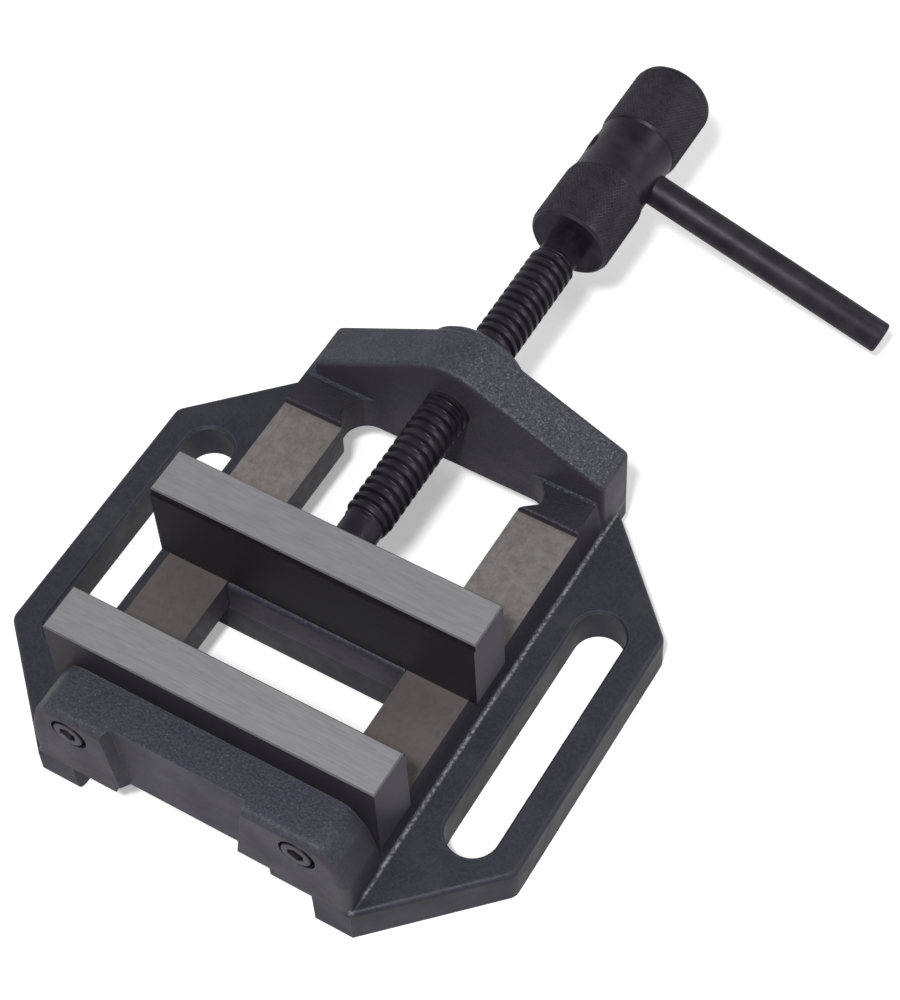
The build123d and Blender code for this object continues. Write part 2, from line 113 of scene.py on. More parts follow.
def within(tree, value, low, high, soft=0.05 * mm):
    """1 between two limits, with soft borders."""
    above = remap(tree, value, low - soft, low + soft)
    below = remap(tree, value, high - soft, high + soft, 1.0, 0.0)
    return product(tree, above, below)


# %% Vector helpers
def axes(tree, source):
    """X, Y and Z of a vector, as sockets by these names."""
    return add_node(tree, "ShaderNodeSeparateXYZ", {"Vector": source}).outputs


def vector(tree, **lengths):
    """Vector from its lengths along X, Y and Z; those left out are zero."""
    return add_node(tree, "ShaderNodeCombineXYZ", lengths).outputs[0]


def vector_calc(tree, operation, first, second):
    """Vector from two others by one Vector Math node."""
    return add_node(tree, "ShaderNodeVectorMath", {0: first, 1: second}, operation=operation).outputs[0]


def scaled(tree, source, factor):
    """Vector times a number."""
    return add_node(
        tree, "ShaderNodeVectorMath", {0: source, "Scale": factor}, operation="SCALE"
    ).outputs[0]


# %% [markdown]
# ## The camera
# The photograph looks down on the vise from its front right. Its direction is told by an azimuth, counted
# from the front toward the right, an elevation over the table and a slight roll. A fairly long lens keeps
# the far jaw nearly as large as the near one.

# %% Camera
camera_place = Vector((0.23996, -0.29853, 0.62997))
camera_azimuth = math.radians(33.16)
camera_elevation = math.radians(55.65)
camera_roll = math.radians(-3.24)
lens_length = 95.46
film_width = 36.0
framing_shift = -0.014

toward_camera = Vector((
    math.sin(camera_azimuth) * math.cos(camera_elevation),
    -math.cos(camera_azimuth) * math.cos(camera_elevation),
    math.sin(camera_elevation),
))
camera_turn = toward_camera.to_track_quat("Z", "Y").to_matrix() @ Matrix.Rotation(camera_roll, 3, "Z")

camera_data = bpy.data.cameras.new("photo_camera")
camera_data.lens = lens_length
camera_data.sensor_width = film_width
camera_data.shift_x = framing_shift
camera = bpy.data.objects.new("photo_camera", camera_data)
camera.matrix_world = Matrix.Translation(camera_place) @ camera_turn.to_4x4()
bpy.context.scene.collection.objects.link(camera)
bpy.context.scene.camera = camera
bpy.context.scene.view_settings.view_transform = "Standard"
print("camera stands", round(camera_place.length / mm), "mm from the vise")

# %% [markdown]
# ## The table it lies on
# The photograph has a bare white ground with soft grey shadows. A wide sheet of paper gives both, and each
# kind of ray meets its own shade of it. The camera sees white paper that also shines a little by itself, so
# that only the shadows differ from white. Steel and paint mirror a paler grey, and the light that bounces up
# on the vise comes from a middle grey, which keeps the dark iron dark.

# %% Floor
floor_reach = 3.0
floor_mesh = bpy.data.meshes.new("floor")
floor_corners = [
    (x * floor_reach, y * floor_reach, cad_low.z) for x, y in ((-1, -1), (1, -1), (1, 1), (-1, 1))
]
floor_mesh.from_pydata(floor_corners, [], [(0, 1, 2, 3)])
floor = bpy.data.objects.new("floor", floor_mesh)
bpy.context.scene.collection.objects.link(floor)

floor_finish = bpy.data.materials.new("white_ground")
floor_finish.use_nodes = True
tree = floor_finish.node_tree
tree.nodes.clear()
rays = add_node(tree, "ShaderNodeLightPath").outputs


def sheet(grey, glow):
    """White paper of a certain greyness that also shines a little by itself."""
    paper = add_node(tree, "ShaderNodeBsdfDiffuse", {"Color": (grey, grey, grey, 1)}).outputs[0]
    shine = add_node(tree, "ShaderNodeEmission", {"Color": (1, 1, 1, 1), "Strength": glow}).outputs[0]
    return add_node(tree, "ShaderNodeAddShader", {0: paper, 1: shine}).outputs[0]


bounced_sheet = sheet(0.5, 0.0)
mirrored_sheet = sheet(0.6, 0.12)
seen_sheet = sheet(0.95, 0.32)
mirrored = calc(tree, "MAXIMUM", rays["Is Glossy Ray"], rays["Is Transmission Ray"])
ground = add_node(tree, "ShaderNodeMixShader", {0: mirrored, 1: bounced_sheet, 2: mirrored_sheet})
ground = add_node(
    tree, "ShaderNodeMixShader", {0: rays["Is Camera Ray"], 1: ground.outputs[0], 2: seen_sheet}
)
add_node(tree, "ShaderNodeOutputMaterial", {"Surface": ground.outputs[0]})
floor_mesh.materials.append(floor_finish)
print("floor is", 2 * floor_reach, "m wide")

# %% [markdown]
# ## Light
# Dark iron shows its form by what it mirrors. The sky of this small studio is nearly twice as bright round
# the horizon as overhead, so that upright faces are lit by the surroundings and the tops stay dark, as they
# do in the photograph. A lamp beside the camera throws the short shadow, which hides mostly behind the vise,
# and a second one far behind the right side puts sparks on the grain of the paint, beside the glints that are
# painted on it.

# %% World
world = bpy.data.worlds.new("studio")
bpy.context.scene.world = world
world.use_nodes = True
tree = world.node_tree
tree.nodes.clear()
direction = add_node(tree, "ShaderNodeTexCoord").outputs["Generated"]
height = axes(tree, direction)["Z"]
horizon_level = 0.60
zenith_level = 0.31
brightness = remap(tree, height, 0.1, 0.75, horizon_level, zenith_level)
sky = add_node(tree, "ShaderNodeBackground", {"Color": (1, 1, 1, 1), "Strength": brightness})
add_node(tree, "ShaderNodeOutputWorld", {"Surface": sky.outputs[0]})
print("sky goes from", horizon_level, "at the horizon to", zenith_level, "overhead")


# %% Lamps
def softbox(name, place, aim, size, power):
    """Square lamp of a given size in metres and power in watts, turned toward a point."""
    lamp_data = bpy.data.lights.new(name, "AREA")
    lamp_data.shape = "SQUARE"
    lamp_data.size = size
    lamp_data.energy = power
    lamp = bpy.data.objects.new(name, lamp_data)
    turn = (Vector(place) - Vector(aim)).to_track_quat("Z", "Y").to_matrix().to_4x4()
    lamp.matrix_world = Matrix.Translation(place) @ turn
    bpy.context.scene.collection.objects.link(lamp)
    print(name, power, "W")


softbox("key_lamp", (0.18, -0.47, 1.05), (0, 0.04, 0), 0.12, 9.8)
softbox("spark_lamp", (0.75, 0.65, 0.75), (0, 0.04, 0.03), 0.35, 2.2)

# %% [markdown]
# ## Finishes
# Each finish starts from the same three nodes: object coordinates, a shader and the output. Object
# coordinates are metres on the vise itself, so grain has its true size, and a pattern keeps its place when
# a piece moves. Helpers give specks and stripes of a size told in metres.


# %% Start of a finish
def new_finish(name):
    """A material with its tree cleared, and the sockets that every finish needs."""
    material = bpy.data.materials.new(name)
    material.use_nodes = True
    tree = material.node_tree
    tree.nodes.clear()
    shader = add_node(tree, "ShaderNodeBsdfPrincipled")
    add_node(tree, "ShaderNodeOutputMaterial", {"Surface": shader.outputs["BSDF"]})
    place = add_node(tree, "ShaderNodeTexCoord").outputs["Object"]
    return material, tree, shader, place


def specks(tree, place, size, detail=3.0, roughness=0.55, stretch=(1, 1, 1)):
    """Noise from 0 to 1 with specks of this size in metres, drawn out along an axis by stretch."""
    scale = [1 / (size * factor) for factor in stretch]
    spread = add_node(tree, "ShaderNodeMapping", {"Vector": place, "Scale": scale}).outputs[0]
    noise = {"Vector": spread, "Scale": 1.0, "Detail": detail, "Roughness": roughness}
    return add_node(tree, "ShaderNodeTexNoise", noise).outputs["Fac"]


def tint(tree, share, first, second):
    """Colour between two others; a share of 1 is the second."""
    return add_node(tree, "ShaderNodeMix", {0: share, 6: first, 7: second}, data_type="RGBA").outputs[2]


def relief(tree, shader, height, depth):
    """Sets the shader's normal from a height of 0 to 1 that stands for this depth in metres."""
    bump = add_node(tree, "ShaderNodeBump", {"Height": height, "Distance": depth, "Strength": 1.0})
    tree.links.new(bump.outputs["Normal"], shader.inputs["Normal"])


def facing_of(tree):
    """The direction that the surface faces, in the vise's own coordinates, by its axes."""
    return axes(tree, add_node(tree, "ShaderNodeTexCoord").outputs["Normal"])


def edge_share(tree, reach):
    """1 on sharp outer edges and 0 on flat ground, from the angle between true and rounded normals."""
    true_normal = add_node(tree, "ShaderNodeNewGeometry").outputs["Normal"]
    rounded = add_node(tree, "ShaderNodeBevel", {"Radius": reach}, samples=4).outputs["Normal"]
    both = {0: true_normal, 1: rounded}
    match = add_node(tree, "ShaderNodeVectorMath", both, operation="DOT_PRODUCT").outputs["Value"]
    return remap(tree, match, 0.995, 0.9)


# %% [markdown]
# ### Painted iron
# The casting is sprayed with a dark blue-grey paint that dries in fine grains, like very fine sandpaper. A
# soft noise bends round grains to short curls, and larger dimples of the sand mould show through. The grain
# is fine on the wings and coarse above them, most of all on the bridge's right slope, where the second lamp
# shines and painted glints crowd. Upright faces are smoother, and their colour by facing is painted shade:
# purple-grey on the fronts, darker on the flanks and the wings' sides. Sharp edges get worn paint and a
# painted highlight.

# %% Colours and sizes of the paint
paint_dark = (0.014, 0.0155, 0.022, 1)
paint_light = (0.062, 0.067, 0.088, 1)
paint_brown = (0.044, 0.040, 0.048, 1)
# Colours of upright faces by facing: painted shade, purple-grey on fronts, darker on flanks and wing sides.
side_shade_colour = (0.036, 0.030, 0.048, 1)
flank_shade_colour = (0.018, 0.017, 0.024, 1)
wing_side_shade = (0.016, 0.016, 0.023, 1)
# Lighter colour on sharp edges: worn paint and a painted highlight.
edge_wear_and_highlight = (0.16, 0.16, 0.18, 1)
# Colour of the bright specks: painted glints.
painted_glint_colour = (0.22, 0.23, 0.24, 1)
paint_sheen = (0.97, 0.90, 1.0, 1)
wing_top = 12.7 * mm
bridge_front = 58 * mm
slope_left = -6 * mm
slope_right = 12 * mm
curl_size = 2.6 * mm
curl_reach = 0.9 * mm
grain_size = 0.75 * mm
glint_size = 0.6 * mm
dimple_size = 4.5 * mm
blotch_size = 14 * mm
paint_relief = 0.16 * mm
rubbed_edge_and_highlight = 0.5 * mm
wing_coarseness = 0.42
lit_slope_contrast = 0.9


# %% Grain of the paint
def swirled(tree, place, size, reach):
    """Coordinates pushed about by a soft noise, so that round grains become short curls."""
    push = add_node(tree, "ShaderNodeTexNoise", {"Vector": place, "Scale": 1 / size}).outputs["Color"]
    return vector_calc(tree, "ADD", place, scaled(tree, push, reach))


def grainy_colour(tree, grain, above_wing, coarse, slope, place):
    """Colour of the paint on a top face: grains between dark and light, and painted glints; the lit slope
    gets more contrast.
    """
    # On the bridge's right slope, where the second lamp shines, the grain gets more contrast: painted light.
    more = calc(tree, "ADD", product(tree, slope, lit_slope_contrast), 1.0)
    swing = product(tree, remap(tree, grain, 0.34, 0.68, -0.22, 0.22), product(tree, coarse, more))
    lightness = calc(tree, "ADD", swing, product(tree, coarse, 0.55))
    colour = tint(tree, lightness, paint_dark, paint_light)
    brown = remap(tree, specks(tree, place, blotch_size), 0.48, 0.72, 0.0, 0.4)
    colour = tint(tree, brown, colour, paint_brown)
    # Bright specks are painted glints, more of them on the lit slope.
    glint = calc(tree, "ADD", specks(tree, place, glint_size, detail=1.0), product(tree, slope, 0.07))
    glint = product(tree, remap(tree, glint, 0.66, 0.76, 0.0, 0.42), above_wing)
    return tint(tree, glint, colour, painted_glint_colour)


# %% Paint by place and facing
def paint(tree, place, spot):
    """Colour, roughness and height of the paint, from the place and the facing of the surface; the colour
    carries painted shade by facing, painted glints and painted edge highlights.
    """
    facing = facing_of(tree)
    above_wing = remap(tree, spot["Z"], wing_top + 0.2 * mm, wing_top + 2 * mm)
    coarse = remap(tree, above_wing, 0.0, 1.0, wing_coarseness, 1.0)
    on_bridge = remap(tree, spot["Y"], bridge_front, bridge_front + 4 * mm)
    # Share of the bridge's right slope, where the painted glints and contrast gather.
    slope = product(tree, on_bridge, remap(tree, spot["X"], slope_left, slope_right))
    curls = swirled(tree, place, curl_size, curl_reach)
    grain = specks(tree, curls, grain_size, detail=2.0, roughness=0.6)
    colour = grainy_colour(tree, grain, above_wing, coarse, slope, place)

    # Upright faces take a colour by their facing: painted shade, darker on X-facing flanks and the wings'
    # sides.
    flank = remap(tree, calc(tree, "ABSOLUTE", facing["X"]), 0.6, 0.9)
    before_bridge = remap(tree, spot["Y"], bridge_front - 2 * mm, bridge_front + 2 * mm, 1.0, 0.0)
    upright = tint(tree, product(tree, flank, before_bridge), side_shade_colour, flank_shade_colour)
    upright = tint(tree, above_wing, wing_side_shade, upright)
    top_face = remap(tree, facing["Z"], 0.35, 0.75)
    colour = tint(tree, top_face, tint(tree, 0.8, colour, upright), colour)
    # Sharp edges turn lighter: partly rubbed paint, partly a painted highlight.
    colour = tint(tree, product(tree, edge_share(tree, rubbed_edge_and_highlight), 0.3), colour, edge_wear_and_highlight)

    roughness = remap(tree, specks(tree, place, blotch_size), 0.3, 0.7, 0.42, 0.56)
    dimples = specks(tree, place, dimple_size, detail=2.0)
    height = calc(tree, "ADD", grain, product(tree, dimples, 1.2))
    height = product(tree, height, product(tree, coarse, remap(tree, facing["Z"], 0.35, 0.75, 0.55, 1.15)))
    return colour, roughness, height


# %% Paint on the loose parts
def new_paint(name):
    """A finish with the paint's gloss, and the place on the vise by its axes."""
    material, tree, shader, place = new_finish(name)
    shader.inputs["Specular IOR Level"].default_value = 0.4
    shader.inputs["Specular Tint"].default_value = paint_sheen
    return material, tree, shader, place, axes(tree, place)


def apply_finish(tree, shader, colour, roughness, height, depth):
    """Links colour and roughness to the shader and turns the height into relief."""
    tree.links.new(colour, shader.inputs["Base Color"])
    tree.links.new(roughness, shader.inputs["Roughness"])
    relief(tree, shader, height, depth)


part_paint, tree, shader, place, spot = new_paint("part_paint")
apply_finish(tree, shader, *paint(tree, place, spot), paint_relief)
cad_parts["keeper_plate"].data.materials[0] = part_paint
print("paint has", len(tree.nodes), "nodes")

# %% [markdown]
# ### Milled iron
# On the bed, the rails' tops and the walls between them are not painted: a milling cutter bared them, and its
# round sweeps show as faint arcs, with a little rust between them. The rails darken toward the fixed jaw:
# painted shade.

# %% Milled iron
bare_dark = (0.195, 0.180, 0.174, 1)
bare_light = (0.285, 0.267, 0.258, 1)
# Darker iron for the painted shade toward the fixed jaw.
bare_shaded = (0.070, 0.058, 0.054, 1)
rust_tint = (0.12, 0.072, 0.045, 1)
sweep_step = 0.55 * mm
sweep_radius = 42 * mm
mottle_size = 2.4 * mm
streak_size = 1.6 * mm
waver_size = 9 * mm
waver_reach = 1.2 * mm
# Where the painted shade on the rails is full and where it ends.
jaw_shade_start = -14 * mm
jaw_shade_end = 12 * mm


def milling_sweeps(tree, place, spot):
    """Fine arcs that a wide cutter leaves as it moves along Y."""
    aside = calc(tree, "MINIMUM", calc(tree, "ABSOLUTE", spot["X"]), sweep_radius)
    bow = calc(tree, "SUBTRACT", (sweep_radius * 1.2) ** 2, calc(tree, "POWER", aside, 2.0))
    waver = product(tree, specks(tree, place, waver_size), waver_reach)
    travel = calc(tree, "ADD", calc(tree, "ADD", spot["Y"], calc(tree, "SQRT", bow)), waver)
    return specks(tree, vector(tree, X=travel), sweep_step, detail=3.0, roughness=0.7)


def milled_iron(tree, place, spot):
    """Colour, roughness and height of the bare iron, with painted shade toward the fixed jaw."""
    mottle = specks(tree, place, mottle_size, detail=5.0, roughness=0.68)
    streaks = specks(tree, place, streak_size, stretch=(0.6, 2.2, 1))
    sweeps = milling_sweeps(tree, place, spot)
    shade = calc(tree, "ADD", product(tree, sweeps, 0.35), product(tree, mottle, 0.65))
    iron = tint(tree, remap(tree, shade, 0.34, 0.66), bare_dark, bare_light)
    iron = tint(tree, product(tree, remap(tree, streaks, 0.5, 0.78), 0.4), iron, rust_tint)
    # Painted shade: the rails darken toward the fixed jaw, unevenly with the mottle.
    jaw_shade = remap(tree, spot["Y"], jaw_shade_start, jaw_shade_end, 0.58, 0.0)
    jaw_shade = product(tree, jaw_shade, remap(tree, mottle, 0.32, 0.68, 0.72, 1.2))
    return tint(tree, jaw_shade, iron, bare_shaded), remap(tree, streaks, 0.2, 0.8, 0.38, 0.55), shade


# %% [markdown]
# ### Where the bed differs
# Each share below is a product of soft limits. The bare iron is level with the rails' tops and faces up, or
# lies on the straight walls between them. A broken bright line runs where the rails' outer walls meet the
# wings: worn paint and a painted highlight. The pads behind the rails, the lower edge of the block's front
# and the walls of its two screw holes get painted shade.

# %% Places on the bed
wall_iron = (0.060, 0.055, 0.066, 1)
# Colour of the line at the rails' feet: worn paint and a painted highlight.
bead_wear_and_highlight = (0.30, 0.30, 0.33, 1)
# Dark colour for the painted shade on the pads.
pad_shade = (0.017, 0.015, 0.021, 1)
rail_top = 25.5 * mm
rail_inner = 28.4 * mm
foot_line = 48.8 * mm
pad_start = 51.5 * mm
pad_end = 62 * mm
plate_back = -55.5 * mm
wall_end = 51.3 * mm
block_front = cad_low.y
heel_height = 12.9 * mm
hole_spacing = 70 * mm
hole_radius = 5.5 * mm
hole_floor = -50 * mm
bead_speck = 0.9 * mm
fixed_screws_low, fixed_screws_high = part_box("fixed_jaw_screws")
hole_height = (fixed_screws_low.z + fixed_screws_high.z) / 2
print("screw holes are", round(hole_height / mm, 1), "mm above the table")


# %% Shares of the rails and their surroundings
def rail_shares(tree, spot):
    """Shares on the milled tops of the rails and on the walls between them."""
    facing = facing_of(tree)
    level = within(tree, spot["Z"], rail_top - 0.1 * mm, rail_top + 0.1 * mm)
    up = remap(tree, facing["Z"], 0.9, 0.98)
    tops = product(tree, level, up, within(tree, spot["Y"], plate_back, pad_start))
    across = calc(tree, "ABSOLUTE", spot["X"])
    on_wall = within(tree, across, rail_inner - 0.2 * mm, rail_inner + 0.2 * mm)
    sideways = remap(tree, calc(tree, "ABSOLUTE", facing["X"]), 0.9, 0.98)
    walls = product(tree, on_wall, sideways, within(tree, spot["Y"], plate_back, wall_end))
    return tops, product(tree, walls, 0.85)


def worn_and_highlit_foot(tree, place, spot):
    """Share of a broken bright line where the rails' outer walls meet the wings: worn paint and a painted
    highlight.
    """
    aside = calc(tree, "ABSOLUTE", spot["X"])
    across = within(tree, aside, foot_line - 0.6 * mm, foot_line + 0.7 * mm, 0.4 * mm)
    level = within(tree, spot["Z"], wing_top - 0.4 * mm, wing_top + 1.2 * mm, 0.4 * mm)
    broken = remap(tree, specks(tree, place, bead_speck), 0.36, 0.66, 0.08, 0.85)
    return product(tree, across, level, broken)


def pad_shade_share(tree, spot):
    """Share of painted shade on the low pads between the rails' ends and the bridge."""
    along = within(tree, spot["Y"], pad_start, pad_end)
    return product(tree, along, within(tree, spot["Z"], wing_top + 2 * mm, rail_top + 2.2 * mm), 0.85)


# %% Shares in the block's front
def hem_shade_share(tree, spot):
    """Share of painted shade along the lower edge of the recess in the block's front."""
    low = remap(tree, spot["Z"], heel_height + 1.2 * mm, heel_height + 2.4 * mm, 0.75, 0.0)
    return product(tree, low, within(tree, spot["Y"], block_front + 1.4 * mm, block_front + 6 * mm))


def off_holes(tree, spot, shift_x=0.0, shift_z=0.0):
    """Distance from the nearer of the block's two screw holes, or from a line shifted off each."""
    hole = product(tree, calc(tree, "SIGN", spot["X"]), hole_spacing / 2)
    across = calc(tree, "SUBTRACT", calc(tree, "SUBTRACT", spot["X"], hole), shift_x)
    across = calc(tree, "POWER", across, 2.0)
    upward = calc(tree, "POWER", calc(tree, "SUBTRACT", spot["Z"], hole_height + shift_z), 2.0)
    return calc(tree, "SQRT", calc(tree, "ADD", across, upward))


def hole_shade_share(tree, spot):
    """Share of painted shade on the walls of the block's two screw holes."""
    near = within(tree, off_holes(tree, spot), 0.0, hole_radius + 0.1 * mm)
    behind = remap(tree, spot["Y"], block_front + 0.1 * mm, block_front + 0.5 * mm)
    return product(tree, near, behind, remap(tree, spot["Y"], hole_floor, hole_floor + 1 * mm, 1.0, 0.0))


# %% Paint and iron together
bed_paint, tree, shader, place, spot = new_paint("bed_paint")
colour, roughness, height = paint(tree, place, spot)
iron, milled, shade = milled_iron(tree, place, spot)
tops, walls = rail_shares(tree, spot)
# Broken bright line at the rails' feet: worn paint and a painted highlight.
colour = tint(tree, worn_and_highlit_foot(tree, place, spot), colour, bead_wear_and_highlight)
colour = tint(tree, walls, colour, wall_iron)
# Painted shade on the pads, along the recess's lower edge and in the screw holes.
colour = tint(tree, pad_shade_share(tree, spot), colour, pad_shade)
colour = tint(tree, hem_shade_share(tree, spot), colour, paint_dark)
colour = tint(tree, hole_shade_share(tree, spot), colour, paint_dark)
colour = tint(tree, tops, colour, iron)
tree.links.new(product(tree, tops, 0.5), shader.inputs["Metallic"])
bare = calc(tree, "MAXIMUM", tops, walls)
painted = calc(tree, "SUBTRACT", 1.0, bare)
roughness = calc(tree, "ADD", product(tree, bare, milled), product(tree, painted, roughness))
height = calc(tree, "ADD", product(tree, height, painted), product(tree, shade, bare, 0.10))
apply_finish(tree, shader, colour, roughness, height, paint_relief)
print("bed's finish has", len(tree.nodes), "nodes")

# %% [markdown]
# ### Ground steel
# The jaw plates are cold drawn bars. Their tops are ground bright along their length, their ends are sawn
# and greyer, and the tall faces are nearly black: partly a dark skin, partly painted shade.

# %% Jaw plate finish
steel_dark = (0.46, 0.455, 0.475, 1)
steel_light = (0.58, 0.573, 0.595, 1)
step_grey = (0.055, 0.050, 0.054, 1)
steel_end = (0.105, 0.100, 0.128, 1)
black_skin_and_shade = (0.0105, 0.009, 0.0125, 1)
brush_width = 0.16 * mm
steel_sheen = (0.98, 0.92, 1.0, 1)
steel_cloud = 7 * mm
plate_step = 1.2 * mm
along_plate = (40, 1, 1)
plates_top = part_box("fixed_jaw_plate")[1].z


def ground_steel(name):
    """Bright brushed top, grey sawn ends, and tall faces nearly black from a dark skin and painted shade."""
    material, tree, shader, place = new_finish(name)
    shader.inputs["Specular Tint"].default_value = steel_sheen
    facing = facing_of(tree)
    tall = remap(tree, calc(tree, "ABSOLUTE", facing["Y"]), 0.5, 0.8)
    end = remap(tree, calc(tree, "ABSOLUTE", facing["X"]), 0.5, 0.8)
    below_top = calc(tree, "SUBTRACT", plates_top, axes(tree, place)["Z"])
    brush = specks(tree, place, brush_width, detail=4.0, roughness=0.65, stretch=along_plate)
    clouds = specks(tree, place, steel_cloud, stretch=(3, 1, 1))
    bright = tint(tree, remap(tree, brush, 0.3, 0.7), steel_dark, steel_light)
    bright = tint(tree, product(tree, remap(tree, clouds, 0.35, 0.7), 0.25), bright, steel_dark)
    bright = tint(tree, remap(tree, below_top, plate_step, plate_step + 0.4 * mm), bright, step_grey)
    # The tall faces go nearly black: a dark skin and painted shade together.
    colour = tint(tree, tall, tint(tree, end, bright, steel_end), black_skin_and_shade)
    tree.links.new(remap(tree, tall, 0.0, 1.0, 0.9, 0.25), shader.inputs["Metallic"])
    roughness = calc(tree, "ADD", remap(tree, brush, 0.2, 0.8, 0.32, 0.42), product(tree, tall, 0.15))
    apply_finish(tree, shader, colour, roughness, brush, 0.008 * mm)
    return material


plate_steel = ground_steel("plate_steel")
for node in ("fixed_jaw_plate", "moving_jaw_plate"):
    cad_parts[node].data.materials[0] = plate_steel
print("jaw plates' top is at", round(plates_top / mm, 1), "mm")

# %% [markdown]
# ### Black oxide
# The screw, its head, the bar and the small screws were dipped in a hot salt bath that leaves a black,
# slightly oily skin. It is thin on sharp edges, where a little grey steel shows. The two screws in the jaw
# block were sprayed over with the casting, so that their outward faces are grey. Their sockets and a
# crescent on the rim, off the grey disc, are painted nearly black: painted shade.

# %% Colours and sizes of black steel
oxide_dark = (0.0115, 0.0100, 0.0145, 1)
oxide_light = (0.027, 0.024, 0.033, 1)
worn_steel = (0.09, 0.087, 0.10, 1)
worn_share = 0.5
worn_edge = 0.25 * mm
oxide_sheen = (0.98, 0.90, 1.0, 1)
oxide_marks = 0.35 * mm
oxide_clouds = 6 * mm
sprayed_grey = (0.074, 0.071, 0.090, 1)
# Nearly black for the painted shade in the socket and round the sprayed disc.
socket_and_crescent_shade = (0.003, 0.003, 0.005, 1)
sprayed_reach = 4.2 * mm
screw_shift_x = -0.55 * mm
screw_shift_z = -0.70 * mm


# %% Black steel finish
def black_oxide(name, streak=(1, 1, 1), gloss=0.36, sprayed_before=None):
    """Blackened steel with fine turning marks and worn edges; with sprayed_before, a grey disc on the outward
    face and painted shade, nearly black, round it and in the socket.
    """
    material, tree, shader, place = new_finish(name)
    shader.inputs["Metallic"].default_value = 0.3
    shader.inputs["Specular IOR Level"].default_value = 0.4
    shader.inputs["Specular Tint"].default_value = oxide_sheen
    marks = specks(tree, place, oxide_marks, detail=4.0, roughness=0.6, stretch=streak)
    clouds = specks(tree, place, oxide_clouds)
    colour = tint(tree, remap(tree, clouds, 0.3, 0.7), oxide_dark, oxide_light)
    if sprayed_before is not None:
        spot = axes(tree, place)
        outward = remap(tree, spot["Y"], sprayed_before, sprayed_before + 0.1 * mm, 1.0, 0.0)
        off_centre = off_holes(tree, spot, screw_shift_x, screw_shift_z)
        near = remap(tree, off_centre, sprayed_reach, sprayed_reach + 0.25 * mm, 1.0, 0.0)
        sprayed = product(tree, outward, near)
        # Painted shade: all but the grey disc goes nearly black, darkening the socket and a crescent on the
        # rim.
        colour = tint(tree, sprayed, tint(tree, 0.85, colour, socket_and_crescent_shade), sprayed_grey)
    thin = product(tree, edge_share(tree, worn_edge), remap(tree, marks, 0.3, 0.6, 0.0, worn_share))
    colour = tint(tree, thin, colour, worn_steel)
    roughness = remap(tree, marks, 0.25, 0.75, gloss - 0.06, gloss + 0.08)
    apply_finish(tree, shader, colour, roughness, marks, 0.02 * mm)
    return material


# %% Four kinds of black steel
round_the_screw = (6, 1, 6)
along_the_bar = (8, 1, 4)
turned_black = black_oxide("turned_black", streak=round_the_screw)
drawn_black = black_oxide("drawn_black", streak=along_the_bar, gloss=0.46)
small_black = black_oxide("small_black", gloss=0.4)
sprayed_screw = black_oxide("sprayed_screw", gloss=0.5, sprayed_before=block_front + 0.2 * mm)
for node in ("head_pin", "head_grub_screw", "keeper_washers"):
    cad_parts[node].data.materials[0] = small_black
print("sprayed screws start at", round(block_front / mm, 1), "mm along the vise")

# %% [markdown]
# ### Nylon
# The slug that brakes the cross bar inside the head is a piece of natural nylon rod, milky and faintly
# yellow. It hardly shows, but a finish costs little.

# %% Nylon finish
material, tree, shader, place = new_finish("nylon")
nylon_dark = (0.62, 0.60, 0.52, 1)
nylon_light = (0.78, 0.76, 0.68, 1)
milk = specks(tree, place, 1.2 * mm)
tree.links.new(tint(tree, milk, nylon_dark, nylon_light), shader.inputs["Base Color"])
shader.inputs["Roughness"].default_value = 0.45
shader.inputs["Subsurface Weight"].default_value = 0.2
shader.inputs["Subsurface Scale"].default_value = 1 * mm
relief(tree, shader, milk, 0.02 * mm)
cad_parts["bar_friction_pad"].data.materials[0] = material
print("nylon has", len(tree.nodes), "nodes")


# %% [markdown]
# ## Turned pieces
# Screw, head and bar were made on a lathe, so a helper does the same: it takes rings, each with a place
# along the axis and a radius, and skins them. A radius may also be a function of the angle, which gives a
# hexagonal socket with the same code. An end is closed by a flat disc, or stays open where another piece
# joins it.


# %% Lathe
def lathe(name, rings, segments, closed_start=True, closed_end=True):
    """Skin over rings of (place along Z, radius or function of the angle); either end may stay open."""
    mesh = bmesh.new()
    loops = []
    for along, radius in rings:
        loop = []
        for step in range(segments):
            angle = 2 * math.pi * step / segments
            reach = radius(angle) if callable(radius) else radius
            loop.append(mesh.verts.new((reach * math.cos(angle), reach * math.sin(angle), along)))
        loops.append(loop)
    for lower, upper in zip(loops, loops[1:]):
        for step in range(segments):
            after = (step + 1) % segments
            mesh.faces.new((lower[step], lower[after], upper[after], upper[step]))
    ends = [(loops[0], rings[0][0], closed_start), (loops[-1], rings[-1][0], closed_end)]
    for loop, along, closed in ends:
        if not closed:
            continue
        centre = mesh.verts.new((0, 0, along))
        for step in range(segments):
            mesh.faces.new((loop[step], loop[(step + 1) % segments], centre))
    bmesh.ops.recalc_face_normals(mesh, faces=mesh.faces)
    data = bpy.data.meshes.new(name)
    mesh.to_mesh(data)
    mesh.free()
    return data


def smooth_by_angle(data, limit=math.radians(35)):
    """Shades a mesh smooth and keeps edges sharper than the limit crisp."""
    data.shade_smooth()
    data.set_sharp_from_angle(angle=limit)


# %% [markdown]
# The screw's axis lies along Y. This matrix lays a piece that was turned about Z on it, and a point along
# the piece then is a point along Y on the vise. Every piece gets its place in its mesh, so that its object
# stays at the origin.

# %% On the screw's axis
screw_height = 39.7 * mm
lay_on_screw = Matrix.Translation((0, 0, screw_height)) @ Matrix.Rotation(math.radians(-90), 4, "X")


